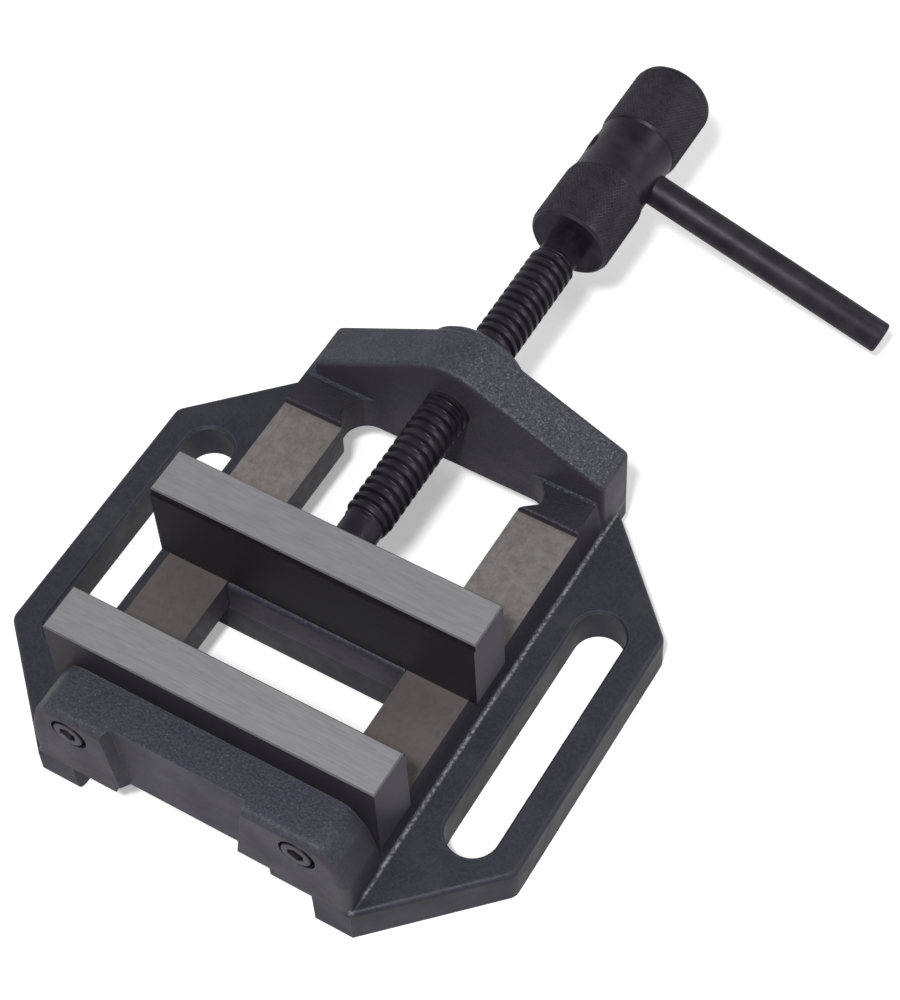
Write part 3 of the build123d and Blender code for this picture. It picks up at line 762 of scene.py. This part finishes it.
def show(name, data, body, replaced, finish):
    """Puts a finished mesh in the scene as a piece that rides on a body in place of a solid."""
    data.materials.clear()
    data.materials.append(finish)
    piece = bpy.data.objects.new(name, data)
    bpy.context.scene.collection.objects.link(piece)
    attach(piece, body)
    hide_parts(replaced)
    data.calc_loop_triangles()
    print(name, len(data.loop_triangles), "triangles")


# %% [markdown]
# ## The cross bar
# A plain drawn rod of 9.5 mm with lightly broken edges. The CAD solid has the right size but few sides, which
# shows on a smooth dark rod, so it is turned again with many sides and a rounded edge at each end. It lies
# across the head at a slant, so its own matrix places it.

# %% Cross bar
bar_radius = 4.75 * mm
bar_edge = 0.8 * mm
bar_tilt = math.radians(17.5)
bar_length = 102.7 * mm
bar_low, bar_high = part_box("tommy_bar")


def rounded_corner(along, radius, edge, inward, steps=5):
    """Rings round the outer corner at the end of a turned piece; inward is the way back to its middle."""
    turns = [math.pi / 2 * step / steps for step in range(steps + 1)]
    return [(along + inward * edge * (1 - math.sin(turn)), radius - edge * (1 - math.cos(turn)))
            for turn in turns]


near_end = rounded_corner(0, bar_radius, bar_edge, 1)[::-1]
far_end = rounded_corner(bar_length, bar_radius, bar_edge, -1)
rod = lathe("cross_bar", near_end + far_end, 96)
smooth_by_angle(rod)

bar_line = Vector((math.cos(bar_tilt), 0, -math.sin(bar_tilt)))
bar_middle = (bar_low + bar_high) / 2
rod.transform(Matrix.Translation(bar_middle - bar_line * bar_length / 2)
              @ bar_line.to_track_quat("Z", "Y").to_matrix().to_4x4())
show("cross_bar", rod, "bar", "tommy_bar", drawn_black)

# %% [markdown]
# ## The screw
# The screw is a bar of nearly 14 mm with a coarse rounded thread, three millimetres a turn. A thread follows
# a rule, so Geometry Nodes make it: a flat grid is rolled into a tube, and each row of the grid follows the
# helix, so that crest and groove stay crisp with few rows. The height over the root comes from the place
# within one turn. At both ends the ridge sinks into the neck beside it. The same tree cuts the fine thread
# of the small screws later, with fewer rows and sides.


# %% Running Geometry Nodes
def run_tree(tree, base, values):
    """Evaluates a tree on a mesh and returns the result as a plain mesh."""
    carrier = bpy.data.objects.new("carrier", base)
    bpy.context.scene.collection.objects.link(carrier)
    modifier = carrier.modifiers.new("nodes", "NODES")
    modifier.node_group = tree
    sockets = {item.name: item.identifier for item in tree.interface.items_tree if item.in_out == "INPUT"}
    for name, value in values.items():
        modifier[sockets[name]] = value
    bpy.context.view_layer.update()
    evaluated = carrier.evaluated_get(bpy.context.evaluated_depsgraph_get())
    result = bpy.data.meshes.new_from_object(evaluated)
    carrier.modifiers.clear()
    bpy.data.objects.remove(carrier)
    return result


def new_tree(name, **inputs):
    """Geometry tree with a mesh input, a mesh output and named inputs of the given kinds."""
    tree = bpy.data.node_groups.new(name, "GeometryNodeTree")
    tree.interface.new_socket("Mesh", in_out="INPUT", socket_type="NodeSocketGeometry")
    tree.interface.new_socket("Mesh", in_out="OUTPUT", socket_type="NodeSocketGeometry")
    for title, kind in inputs.items():
        tree.interface.new_socket(title.replace("_", " "), in_out="INPUT", socket_type="NodeSocket" + kind)
    start = tree.nodes.new("NodeGroupInput").outputs
    return tree, start


def finish_tree(tree, start, geometry):
    """Ends a tree in Realize Instances and Set Material."""
    real = add_node(tree, "GeometryNodeRealizeInstances", {"Geometry": geometry}).outputs[0]
    clad = add_node(tree, "GeometryNodeSetMaterial", {"Geometry": real, "Material": start["Finish"]})
    add_node(tree, "NodeGroupOutput", {"Mesh": clad.outputs[0]})


# %% Thread as a tree
flat_crest = 0.34
groove_start = 0.84
touching = 0.002 * mm


def thread_tree():
    """Tube along Z with a round helical ridge; phase 0.5 of each turn is the crest."""
    tree, start = new_tree(
        "helical_thread", Pitch="Float", Crest_Radius="Float", Root_Radius="Float", Length="Float",
        Start_Radius="Float", Run_In="Float", End_Radius="Float", Run_Out="Float",
        Rows_A_Turn="Int", Sides="Int", Finish="Material",
    )
    step = calc(tree, "DIVIDE", start["Pitch"], start["Rows A Turn"])
    rows = calc(tree, "CEIL", calc(tree, "DIVIDE", calc(tree, "ADD", start["Length"], start["Pitch"]), step))
    grid_length = product(tree, rows, step)
    grid = add_node(tree, "GeometryNodeMeshGrid", {
        "Size X": grid_length, "Size Y": 1.0, "Vertices X": calc(tree, "ADD", rows, 1.0),
        "Vertices Y": calc(tree, "ADD", start["Sides"], 1.0),
    }).outputs["Mesh"]
    flat = axes(tree, add_node(tree, "GeometryNodeInputPosition").outputs[0])
    turn = calc(tree, "ADD", flat["Y"], 0.5)
    climbed = product(tree, turn, start["Pitch"])
    along = calc(tree, "ADD", flat["X"], product(tree, grid_length, 0.5))
    along = calc(tree, "ADD", calc(tree, "SUBTRACT", along, start["Pitch"]), climbed)
    along = calc(tree, "MINIMUM", calc(tree, "MAXIMUM", along, 0.0), start["Length"])
    phase = calc(tree, "FRACT", calc(tree, "DIVIDE", calc(tree, "SUBTRACT", along, climbed), start["Pitch"]))
    off_crest = product(tree, calc(tree, "ABSOLUTE", calc(tree, "SUBTRACT", phase, 0.5)), 2.0)
    ridge = remap(tree, off_crest, flat_crest, groove_start, 1.0, 0.0)
    depth = calc(tree, "SUBTRACT", start["Crest Radius"], start["Root Radius"])
    reach = calc(tree, "ADD", start["Root Radius"], product(tree, ridge, depth))
    left = calc(tree, "SUBTRACT", start["Length"], along)
    for neck, run, distance in (("Start Radius", "Run In", along), ("End Radius", "Run Out", left)):
        share = calc(tree, "MINIMUM", calc(tree, "DIVIDE", distance, start[run]), 1.0)
        smooth = product(tree, start[neck], calc(tree, "SUBTRACT", 1.0, share))
        reach = calc(tree, "ADD", smooth, product(tree, reach, share))
    angle = product(tree, turn, 2 * math.pi)
    aside = product(tree, reach, calc(tree, "SINE", angle))
    ahead = product(tree, reach, calc(tree, "COSINE", angle))
    rolled = vector(tree, X=aside, Y=ahead, Z=along)
    tube = add_node(tree, "GeometryNodeSetPosition", {"Geometry": grid, "Position": rolled}).outputs[0]
    seamless = add_node(tree, "GeometryNodeMergeByDistance", {"Geometry": tube, "Distance": touching})
    finish_tree(tree, start, seamless.outputs[0])
    return tree


helical_thread = thread_tree()
print("thread tree has", len(helical_thread.nodes), "nodes")

# %% [markdown]
# The screw's smooth ends are turned: at its front a neck and a collar that sits in the sliding jaw, at its
# back a second neck and the spigot that the head is pinned on. They have as many sides as the thread, and
# the three are joined and their touching points merged, so that the screw is one closed skin.


# %% Sizes of the screw
screw_low, screw_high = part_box("lead_screw")
thread_pitch = 3.0 * mm
crest_radius = 6.78 * mm
root_radius = 5.45 * mm
sides_of_thread = 72
rows_a_turn = 16
neck_radius = 5.8 * mm
collar_radius = 8.0 * mm
collar_length = 3.0 * mm
collar_edge = 0.3 * mm
neck_end = 18.2 * mm
thread_end = 123.0 * mm
rear_neck_radius = 5.95 * mm
spigot_radius = 5.0 * mm
spigot_edge = 0.4 * mm
spigot_start = 131.0 * mm
thread_run_in = 3.5 * mm
thread_run_out = 1.2 * mm
print("screw length, mm:", round((screw_high.y - screw_low.y) / mm, 1))


# %% Joining and laying pieces
def joined(name, *parts):
    """One mesh of several, with touching points merged and faces turned outward."""
    mesh = bmesh.new()
    for part in parts:
        mesh.from_mesh(part)
    bmesh.ops.remove_doubles(mesh, verts=mesh.verts, dist=0.004 * mm)
    bmesh.ops.dissolve_degenerate(mesh, edges=mesh.edges, dist=0.001 * mm)
    bmesh.ops.recalc_face_normals(mesh, faces=mesh.faces)
    data = bpy.data.meshes.new(name)
    mesh.to_mesh(data)
    mesh.free()
    return data


def laid(data, start):
    """Lays a piece turned about Z on the screw's axis, with its zero at a place along Y."""
    data.transform(Matrix.Translation((0, start, 0)) @ lay_on_screw)
    return data


# %% Screw
thread_skin = run_tree(helical_thread, bpy.data.meshes.new("blank"), {
    "Pitch": thread_pitch, "Crest Radius": crest_radius, "Root Radius": root_radius,
    "Length": thread_end - neck_end, "Start Radius": neck_radius, "Run In": thread_run_in,
    "End Radius": rear_neck_radius, "Run Out": thread_run_out, "Rows A Turn": rows_a_turn,
    "Sides": sides_of_thread, "Finish": turned_black,
})
front_end = rounded_corner(0, collar_radius, collar_edge, 1)[::-1] + [
    (collar_length, collar_radius), (collar_length, neck_radius), (neck_end - screw_low.y, neck_radius),
]
collar_and_neck = lathe("collar_and_neck", front_end, sides_of_thread, closed_end=False)
print("thread skin:", len(thread_skin.vertices), "points")

shoulder = spigot_start - thread_end
spigot_end = rounded_corner(screw_high.y - thread_end, spigot_radius, spigot_edge, -1)
back_end = [(0, rear_neck_radius), (shoulder, rear_neck_radius), (shoulder, spigot_radius), *spigot_end]
neck_and_spigot = lathe("neck_and_spigot", back_end, sides_of_thread, closed_start=False)
screw = joined(
    "lead_screw_threaded", laid(collar_and_neck, screw_low.y), laid(thread_skin, neck_end),
    laid(neck_and_spigot, thread_end),
)
smooth_by_angle(screw, math.radians(50))
show("threaded_screw", screw, "spindle", "lead_screw", turned_black)

# %% [markdown]
# ## The head
# The head is turned from one bar: a ring for the fingers at each end and a smooth waist between them, which
# the cross bar passes through. Both rings carry a fine diamond knurl.

# %% Head as turned
head_low, head_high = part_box("spindle_head")
spigot_bore_radius = 6.2 * mm
lower_ring_radius = 12.5 * mm
lower_ring_length = 21.2 * mm
lower_ring_chamfer = 1.0 * mm
waist_radius = 11.8 * mm
waist_start = 24.0 * mm
waist_end = 41.6 * mm
upper_ring_radius = 12.3 * mm
upper_ring_lead = 0.8 * mm
head_length = head_high.y - head_low.y
head_edge = 2.0 * mm
knurl_depth = 0.22 * mm
knurl_lead = 0.1 * mm
rim_drop = 0.05 * mm
grub_bore_radius = 3.05 * mm
grub_bore_edge = 0.3 * mm
grub_end = 182.55 * mm - head_low.y

lower_core = lower_ring_radius - knurl_depth
upper_core = upper_ring_radius - knurl_depth
head_rings = [
    (0.0, spigot_bore_radius),
    (0.0, lower_ring_radius - lower_ring_chamfer),
    (lower_ring_chamfer - knurl_depth, lower_core),
    (lower_ring_length, lower_core),
    (lower_ring_length + knurl_lead, lower_ring_radius - rim_drop),
    (waist_start, waist_radius),
    (waist_end, waist_radius),
    (waist_end + upper_ring_lead, upper_ring_radius - rim_drop),
    (waist_end + upper_ring_lead + knurl_lead, upper_core),
    *rounded_corner(head_length, upper_core, head_edge, -1),
    (head_length, grub_bore_radius + grub_bore_edge),
    (head_length - grub_bore_edge, grub_bore_radius),
    (grub_end - 1.0 * mm, grub_bore_radius),
]
head_core = lathe("head_core", head_rings, 144)
print("head length, mm:", round(head_length / mm, 2))

# %% [markdown]
# A knurling tool presses small blunt pyramids out of the bar. Each is a cone with four sides, and a tree
# of nodes sets more than a thousand of them in staggered rows round a ring: the points of a flat grid are
# rolled up, every other row is shifted by half a step, and a cone stands on each point.


# %% Turned copies
def turned(tree, z_axis, x_axis):
    """Rotation that points a copy's Z and X the given ways."""
    return add_node(
        tree, "FunctionNodeAxesToRotation", {"Primary Axis": z_axis, "Secondary Axis": x_axis},
        primary_axis="Z", secondary_axis="X",
    ).outputs[0]


def copies(tree, points, thing, rotation, size=(1, 1, 1)):
    """A turned and scaled copy of a thing on each point."""
    return add_node(tree, "GeometryNodeInstanceOnPoints", {
        "Points": points, "Instance": thing, "Rotation": rotation, "Scale": size,
    }).outputs[0]


# %% Knurl as a tree
blunt_tip = 0.22
cone_height = 1.2


def knurl_tree():
    """Staggered rows of diamond-shaped cones on a cylinder along Z."""
    tree, start = new_tree(
        "diamond_knurl", Radius="Float", Depth="Float", Length="Float", Rows="Int", Columns="Int",
        Finish="Material",
    )
    row_spans = calc(tree, "SUBTRACT", start["Rows"], 1.0)
    column_spans = calc(tree, "SUBTRACT", start["Columns"], 1.0)
    grid = add_node(tree, "GeometryNodeMeshGrid", {
        "Size X": row_spans, "Size Y": column_spans,
        "Vertices X": start["Rows"], "Vertices Y": start["Columns"],
    }).outputs["Mesh"]
    flat = axes(tree, add_node(tree, "GeometryNodeInputPosition").outputs[0])
    row = calc(tree, "ROUND", calc(tree, "ADD", flat["X"], product(tree, row_spans, 0.5)))
    column = calc(tree, "ADD", flat["Y"], product(tree, column_spans, 0.5))
    shift = product(tree, calc(tree, "MODULO", row, 2.0), 0.5)
    angle = calc(tree, "DIVIDE", calc(tree, "ADD", column, shift), start["Columns"])
    angle = product(tree, angle, 2 * math.pi)
    half_length = calc(tree, "DIVIDE", start["Length"], calc(tree, "ADD", start["Rows"], 1.0))
    along = product(tree, calc(tree, "ADD", row, 1.0), half_length)
    outward = vector(tree, X=calc(tree, "SINE", angle), Y=calc(tree, "COSINE", angle))
    sunk = calc(tree, "SUBTRACT", start["Radius"], product(tree, start["Depth"], cone_height))
    spot = vector_calc(tree, "ADD", scaled(tree, outward, sunk), vector(tree, Z=along))
    rolled = add_node(tree, "GeometryNodeSetPosition", {"Geometry": grid, "Position": spot}).outputs[0]

    cone = add_node(tree, "GeometryNodeMeshCone", {
        "Vertices": 4, "Radius Top": blunt_tip, "Radius Bottom": 1.0, "Depth": cone_height,
    }).outputs["Mesh"]
    half_width = calc(tree, "DIVIDE", product(tree, start["Radius"], math.pi), start["Columns"])
    size = vector(tree, X=half_length, Y=half_width, Z=start["Depth"])
    finish_tree(tree, start, copies(tree, rolled, cone, turned(tree, outward, (0, 0, 1)), size))
    return tree


diamond_knurl = knurl_tree()
print("knurl tree has", len(diamond_knurl.nodes), "nodes")

# %% Head with its knurls
knurl_columns = 70
knurl_half_row = 0.8 * mm


def knurl(radius, length):
    """Knurl of one ring; the number of rows follows from its length."""
    rows = round(length / knurl_half_row) - 1
    return run_tree(diamond_knurl, bpy.data.meshes.new("blank"), {
        "Radius": radius, "Depth": knurl_depth, "Length": length, "Rows": rows,
        "Columns": knurl_columns, "Finish": turned_black,
    })


lower_knurl = knurl(lower_ring_radius, lower_ring_length - lower_ring_chamfer)
laid(lower_knurl, head_low.y + lower_ring_chamfer)
upper_start = waist_end + upper_ring_lead + knurl_lead
upper_knurl = knurl(upper_ring_radius, head_length - head_edge - upper_start)
laid(upper_knurl, head_low.y + upper_start)
laid(head_core, head_low.y)
head_mesh = bmesh.new()
for part in (head_core, lower_knurl, upper_knurl):
    head_mesh.from_mesh(part)
head_data = bpy.data.meshes.new("knurled_head")
head_mesh.to_mesh(head_data)
head_mesh.free()
smooth_by_angle(head_data, math.radians(25))
show("knurled_head", head_data, "spindle", "spindle_head", turned_black)

# %% [markdown]
# ## The small screws
# Six M6 cap screws hold the jaw plates and the keeper plate. Each is one skin: a threaded shank from the same
# tree as the big screw, and a turned head whose hexagonal socket is a ring with a radius that changes with
# the angle.

# %% Sizes of a cap screw
cap_sides = 48
cap_head_height = 6.0 * mm
cap_core_radius = 4.68 * mm
cap_rim_radius = 4.97 * mm
cap_thread_crest = 2.97 * mm
cap_thread_root = 2.46 * mm
cap_thread_pitch = 1.0 * mm
cap_thread_run = 0.8 * mm
cap_rows_a_turn = 8
cap_tip_radius = 2.3 * mm
cap_neck_radius = 2.9 * mm
socket_width = 5.02 * mm
socket_mouth_width = 5.3 * mm
socket_depth = 3.2 * mm
socket_tip_depth = 3.9 * mm
print("cap screw head, mm:", round(2 * cap_rim_radius / mm, 2), "wide")


# %% One cap screw
def hexagon(width):
    """Radius of a hexagon, as a function of the angle, from its width across flats."""
    sixth = math.pi / 3
    return lambda angle: width / 2 / math.cos((angle + sixth / 2) % sixth - sixth / 2)


def cap_screw(name, shank):
    """Cap screw along Z with the underside of its head at zero and its shank below."""
    thread = run_tree(helical_thread, bpy.data.meshes.new("blank"), {
        "Pitch": cap_thread_pitch, "Crest Radius": cap_thread_crest, "Root Radius": cap_thread_root,
        "Length": shank, "Start Radius": cap_tip_radius, "Run In": cap_thread_run,
        "End Radius": cap_neck_radius, "Run Out": cap_thread_run, "Rows A Turn": cap_rows_a_turn,
        "Sides": cap_sides, "Finish": small_black,
    })
    tip = lathe("tip", [(0.0, cap_tip_radius)], cap_sides, closed_end=False)
    for part in (thread, tip):
        part.transform(Matrix.Translation((0, 0, -shank)))
    top = cap_head_height
    head = lathe("head", [
        (0.0, cap_neck_radius),
        (0.0, cap_core_radius - 0.3 * mm),
        (0.3 * mm, cap_core_radius),
        (top - 0.9 * mm, cap_core_radius),
        (top - 0.8 * mm, cap_rim_radius),
        (top - 0.45 * mm, cap_rim_radius),
        (top - 0.12 * mm, cap_rim_radius - 0.25 * mm),
        (top, cap_rim_radius - 0.5 * mm),
        (top, hexagon(socket_mouth_width)),
        (top - 0.25 * mm, hexagon(socket_width)),
        (top - socket_depth, hexagon(socket_width)),
        (top - socket_depth, 2.0 * mm),
        (top - socket_tip_depth, 0.3 * mm),
    ], cap_sides, closed_start=False)
    return joined(name, thread, tip, head)


# %% [markdown]
# The head's side is rolled with straight ribs for the fingers. A tree stands one prism on each point of a
# circle, adds them to the screw, and sets the whole on the two seats of its jaw, with the head turned the
# way that it looks out. The two screws in the jaw block come out flush, a little slimmer and off the middle
# of their holes, which leaves the dark crescent that the photograph shows: a real gap, darkened further by
# painted shade on the head's rim. The two behind the sliding jaw sit deeper, under its sloping back.


# %% Ribs and seats as a tree
rib_circle_radius = 4.5 * mm
rib_radius = 0.47 * mm
rib_length = 4.6 * mm
rib_start = 0.5 * mm
ribs_on_head = 36
slim_girth = 0.92
rear_screws_deeper = 1.6 * mm
keeper_hole_spacing = 32 * mm


def cap_screws_tree():
    """Ribs round the head of the screw that comes in, and a copy of it on each of two seats."""
    tree, start = new_tree(
        "cap_screws", Rib_Circle="Float", Rib_Radius="Float", Rib_Length="Float", Ribs="Int",
        Seat="Vector", Spacing="Float", Outward="Vector", Finish="Material",
    )
    circle = add_node(tree, "GeometryNodeMeshCircle", {
        "Vertices": start["Ribs"], "Radius": start["Rib Circle"],
    }).outputs["Mesh"]
    lift = vector(tree, Z=calc(tree, "ADD", product(tree, start["Rib Length"], 0.5), rib_start))
    raised = add_node(tree, "GeometryNodeSetPosition", {"Geometry": circle, "Offset": lift}).outputs[0]
    prism = add_node(tree, "GeometryNodeMeshCylinder", {
        "Vertices": 3, "Radius": start["Rib Radius"], "Depth": start["Rib Length"],
    }).outputs["Mesh"]
    position = add_node(tree, "GeometryNodeInputPosition").outputs[0]
    from_axis = vector_calc(tree, "MULTIPLY", position, (1, 1, 0))
    ribs = copies(tree, raised, prism, turned(tree, (0, 0, 1), from_axis))
    core = next(socket for socket in start if socket.name == "Mesh")
    whole = add_node(tree, "GeometryNodeJoinGeometry").inputs[0]
    tree.links.new(core, whole)
    tree.links.new(ribs, whole)
    half = vector(tree, X=product(tree, start["Spacing"], 0.5))
    first = vector_calc(tree, "SUBTRACT", start["Seat"], half)
    seats = add_node(tree, "GeometryNodeMeshLine", {
        "Count": 2, "Start Location": first, "Offset": vector(tree, X=start["Spacing"]),
    }, mode="OFFSET").outputs["Mesh"]
    turn = turned(tree, start["Outward"], (1, 0, 0))
    finish_tree(tree, start, copies(tree, seats, whole.node.outputs[0], turn))
    return tree


cap_screws_on_seats = cap_screws_tree()
print("cap screw tree has", len(cap_screws_on_seats.nodes), "nodes")


# %% Screws on their seats
def set_screws(node, body, outward, spacing, finish=small_black, shift=(0, 0, 0), girth=1.0):
    """Cap screws in place of a node, whose box tells seat and length; shift and girth alter them."""
    low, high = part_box(node)
    outward = Vector(outward)
    middle = (low + high) / 2
    reach = abs((high - low).dot(outward)) / 2
    seat = middle + outward * (reach - cap_head_height) + Vector(shift)
    screw = cap_screw(node + "_turned", 2 * reach - cap_head_height)
    screw.transform(Matrix.Diagonal((girth, girth, 1, 1)))
    data = run_tree(cap_screws_on_seats, screw, {
        "Rib Circle": rib_circle_radius * girth, "Rib Radius": rib_radius * girth,
        "Rib Length": rib_length, "Ribs": ribs_on_head,
        "Seat": seat, "Spacing": spacing, "Outward": outward, "Finish": finish,
    })
    smooth_by_angle(data)
    show(node.replace("screws", "cap_screws"), data, body, node, finish)


flush = block_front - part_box("fixed_jaw_screws")[0].y
set_screws("fixed_jaw_screws", "bed", (0, -1, 0), hole_spacing, sprayed_screw,
           shift=(screw_shift_x, flush, screw_shift_z), girth=slim_girth)
set_screws("moving_jaw_screws", "sliding_jaw", (0, 1, 0), hole_spacing,
           shift=(0, -rear_screws_deeper, 0))
set_screws("keeper_screws", "sliding_jaw", (0, 0, -1), keeper_hole_spacing)

# %% [markdown]
# ## The two castings
# Two details of the castings are set right here, each on a copy of the solid's own mesh. The solid comes in
# as loose triangles with smooth shading stored on their corners, so a copy keeps that shading while its
# double points are merged. Then its points are pushed sideways by a rule: the shallow recess in the front of
# the jaw block leans with its left wall, and the shoulders of the sliding jaw end behind its plate.


# %% Copy of a solid with its points pushed
def recast(name, node, body, finish, push):
    """Merged copy of a solid's mesh, shown in its place, with each point moved by push(point)."""
    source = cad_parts[node].data
    mesh = bmesh.new()
    mesh.from_mesh(source)
    shading = mesh.loops.layers.float_vector.new("shading")
    for face in mesh.faces:
        for loop in face.loops:
            loop[shading] = source.corner_normals[loop.index].vector
    bmesh.ops.remove_doubles(mesh, verts=mesh.verts, dist=touching)
    for point in mesh.verts:
        point.co += Vector(push(point.co))
    data = bpy.data.meshes.new(name)
    mesh.to_mesh(data)
    mesh.free()
    data.shade_smooth()
    data.normals_split_custom_set([corner.vector.copy() for corner in data.attributes["shading"].data])
    data.attributes.remove(data.attributes["shading"])
    show(name, data, body, node, finish)


# %% Rules for the pushes
def ramp(value, start, full):
    """0 at start and 1 at full, straight between; start may be the larger of the two."""
    return min(max((value - start) / (full - start), 0.0), 1.0)


recess_back = -66.0 * mm
recess_foot = 16.4 * mm
recess_head = 41.5 * mm
right_wall = (3 * mm, 12 * mm, 17 * mm, 24 * mm)
left_wall = (-29.4 * mm, -24 * mm, -19 * mm, -7 * mm)
right_foot_push = 1.5 * mm
right_head_push = 2.3 * mm
left_foot_push = 2.0 * mm
left_head_push = -2.6 * mm
shoulder_start = 40.8 * mm
shoulder_squeeze = 0.8


def near_wall(place, wall):
    """Share of the push on a wall, which grows, is full and fades between the wall's four places."""
    start, full, still_full, end = wall
    return ramp(place, start, full) * ramp(place, end, still_full)


def between(foot, head, rise):
    """Value at a share of the rise, from the values at the foot and the head."""
    return foot + (head - foot) * rise


def lean_recess(point):
    """Sideways push on the recess's two walls; the left one leans outward as it rises."""
    if point.y > recess_back:
        return 0, 0, 0
    rise = ramp(point.z, recess_foot, recess_head)
    right = near_wall(point.x, right_wall) * between(right_foot_push, right_head_push, rise)
    left = near_wall(point.x, left_wall) * between(left_foot_push, left_head_push, rise)
    return right + left, 0, 0


def narrow_shoulders(point):
    """Sideways push that draws in what lies past the cap screws' holes."""
    past = max(abs(point.x) - shoulder_start, 0.0)
    return -math.copysign(past * shoulder_squeeze, point.x), 0, 0


# %% Both castings
recast("cast_bed", "bed_casting", "bed", bed_paint, lean_recess)
recast("cast_jaw", "moving_jaw_casting", "sliding_jaw", part_paint, narrow_shoulders)
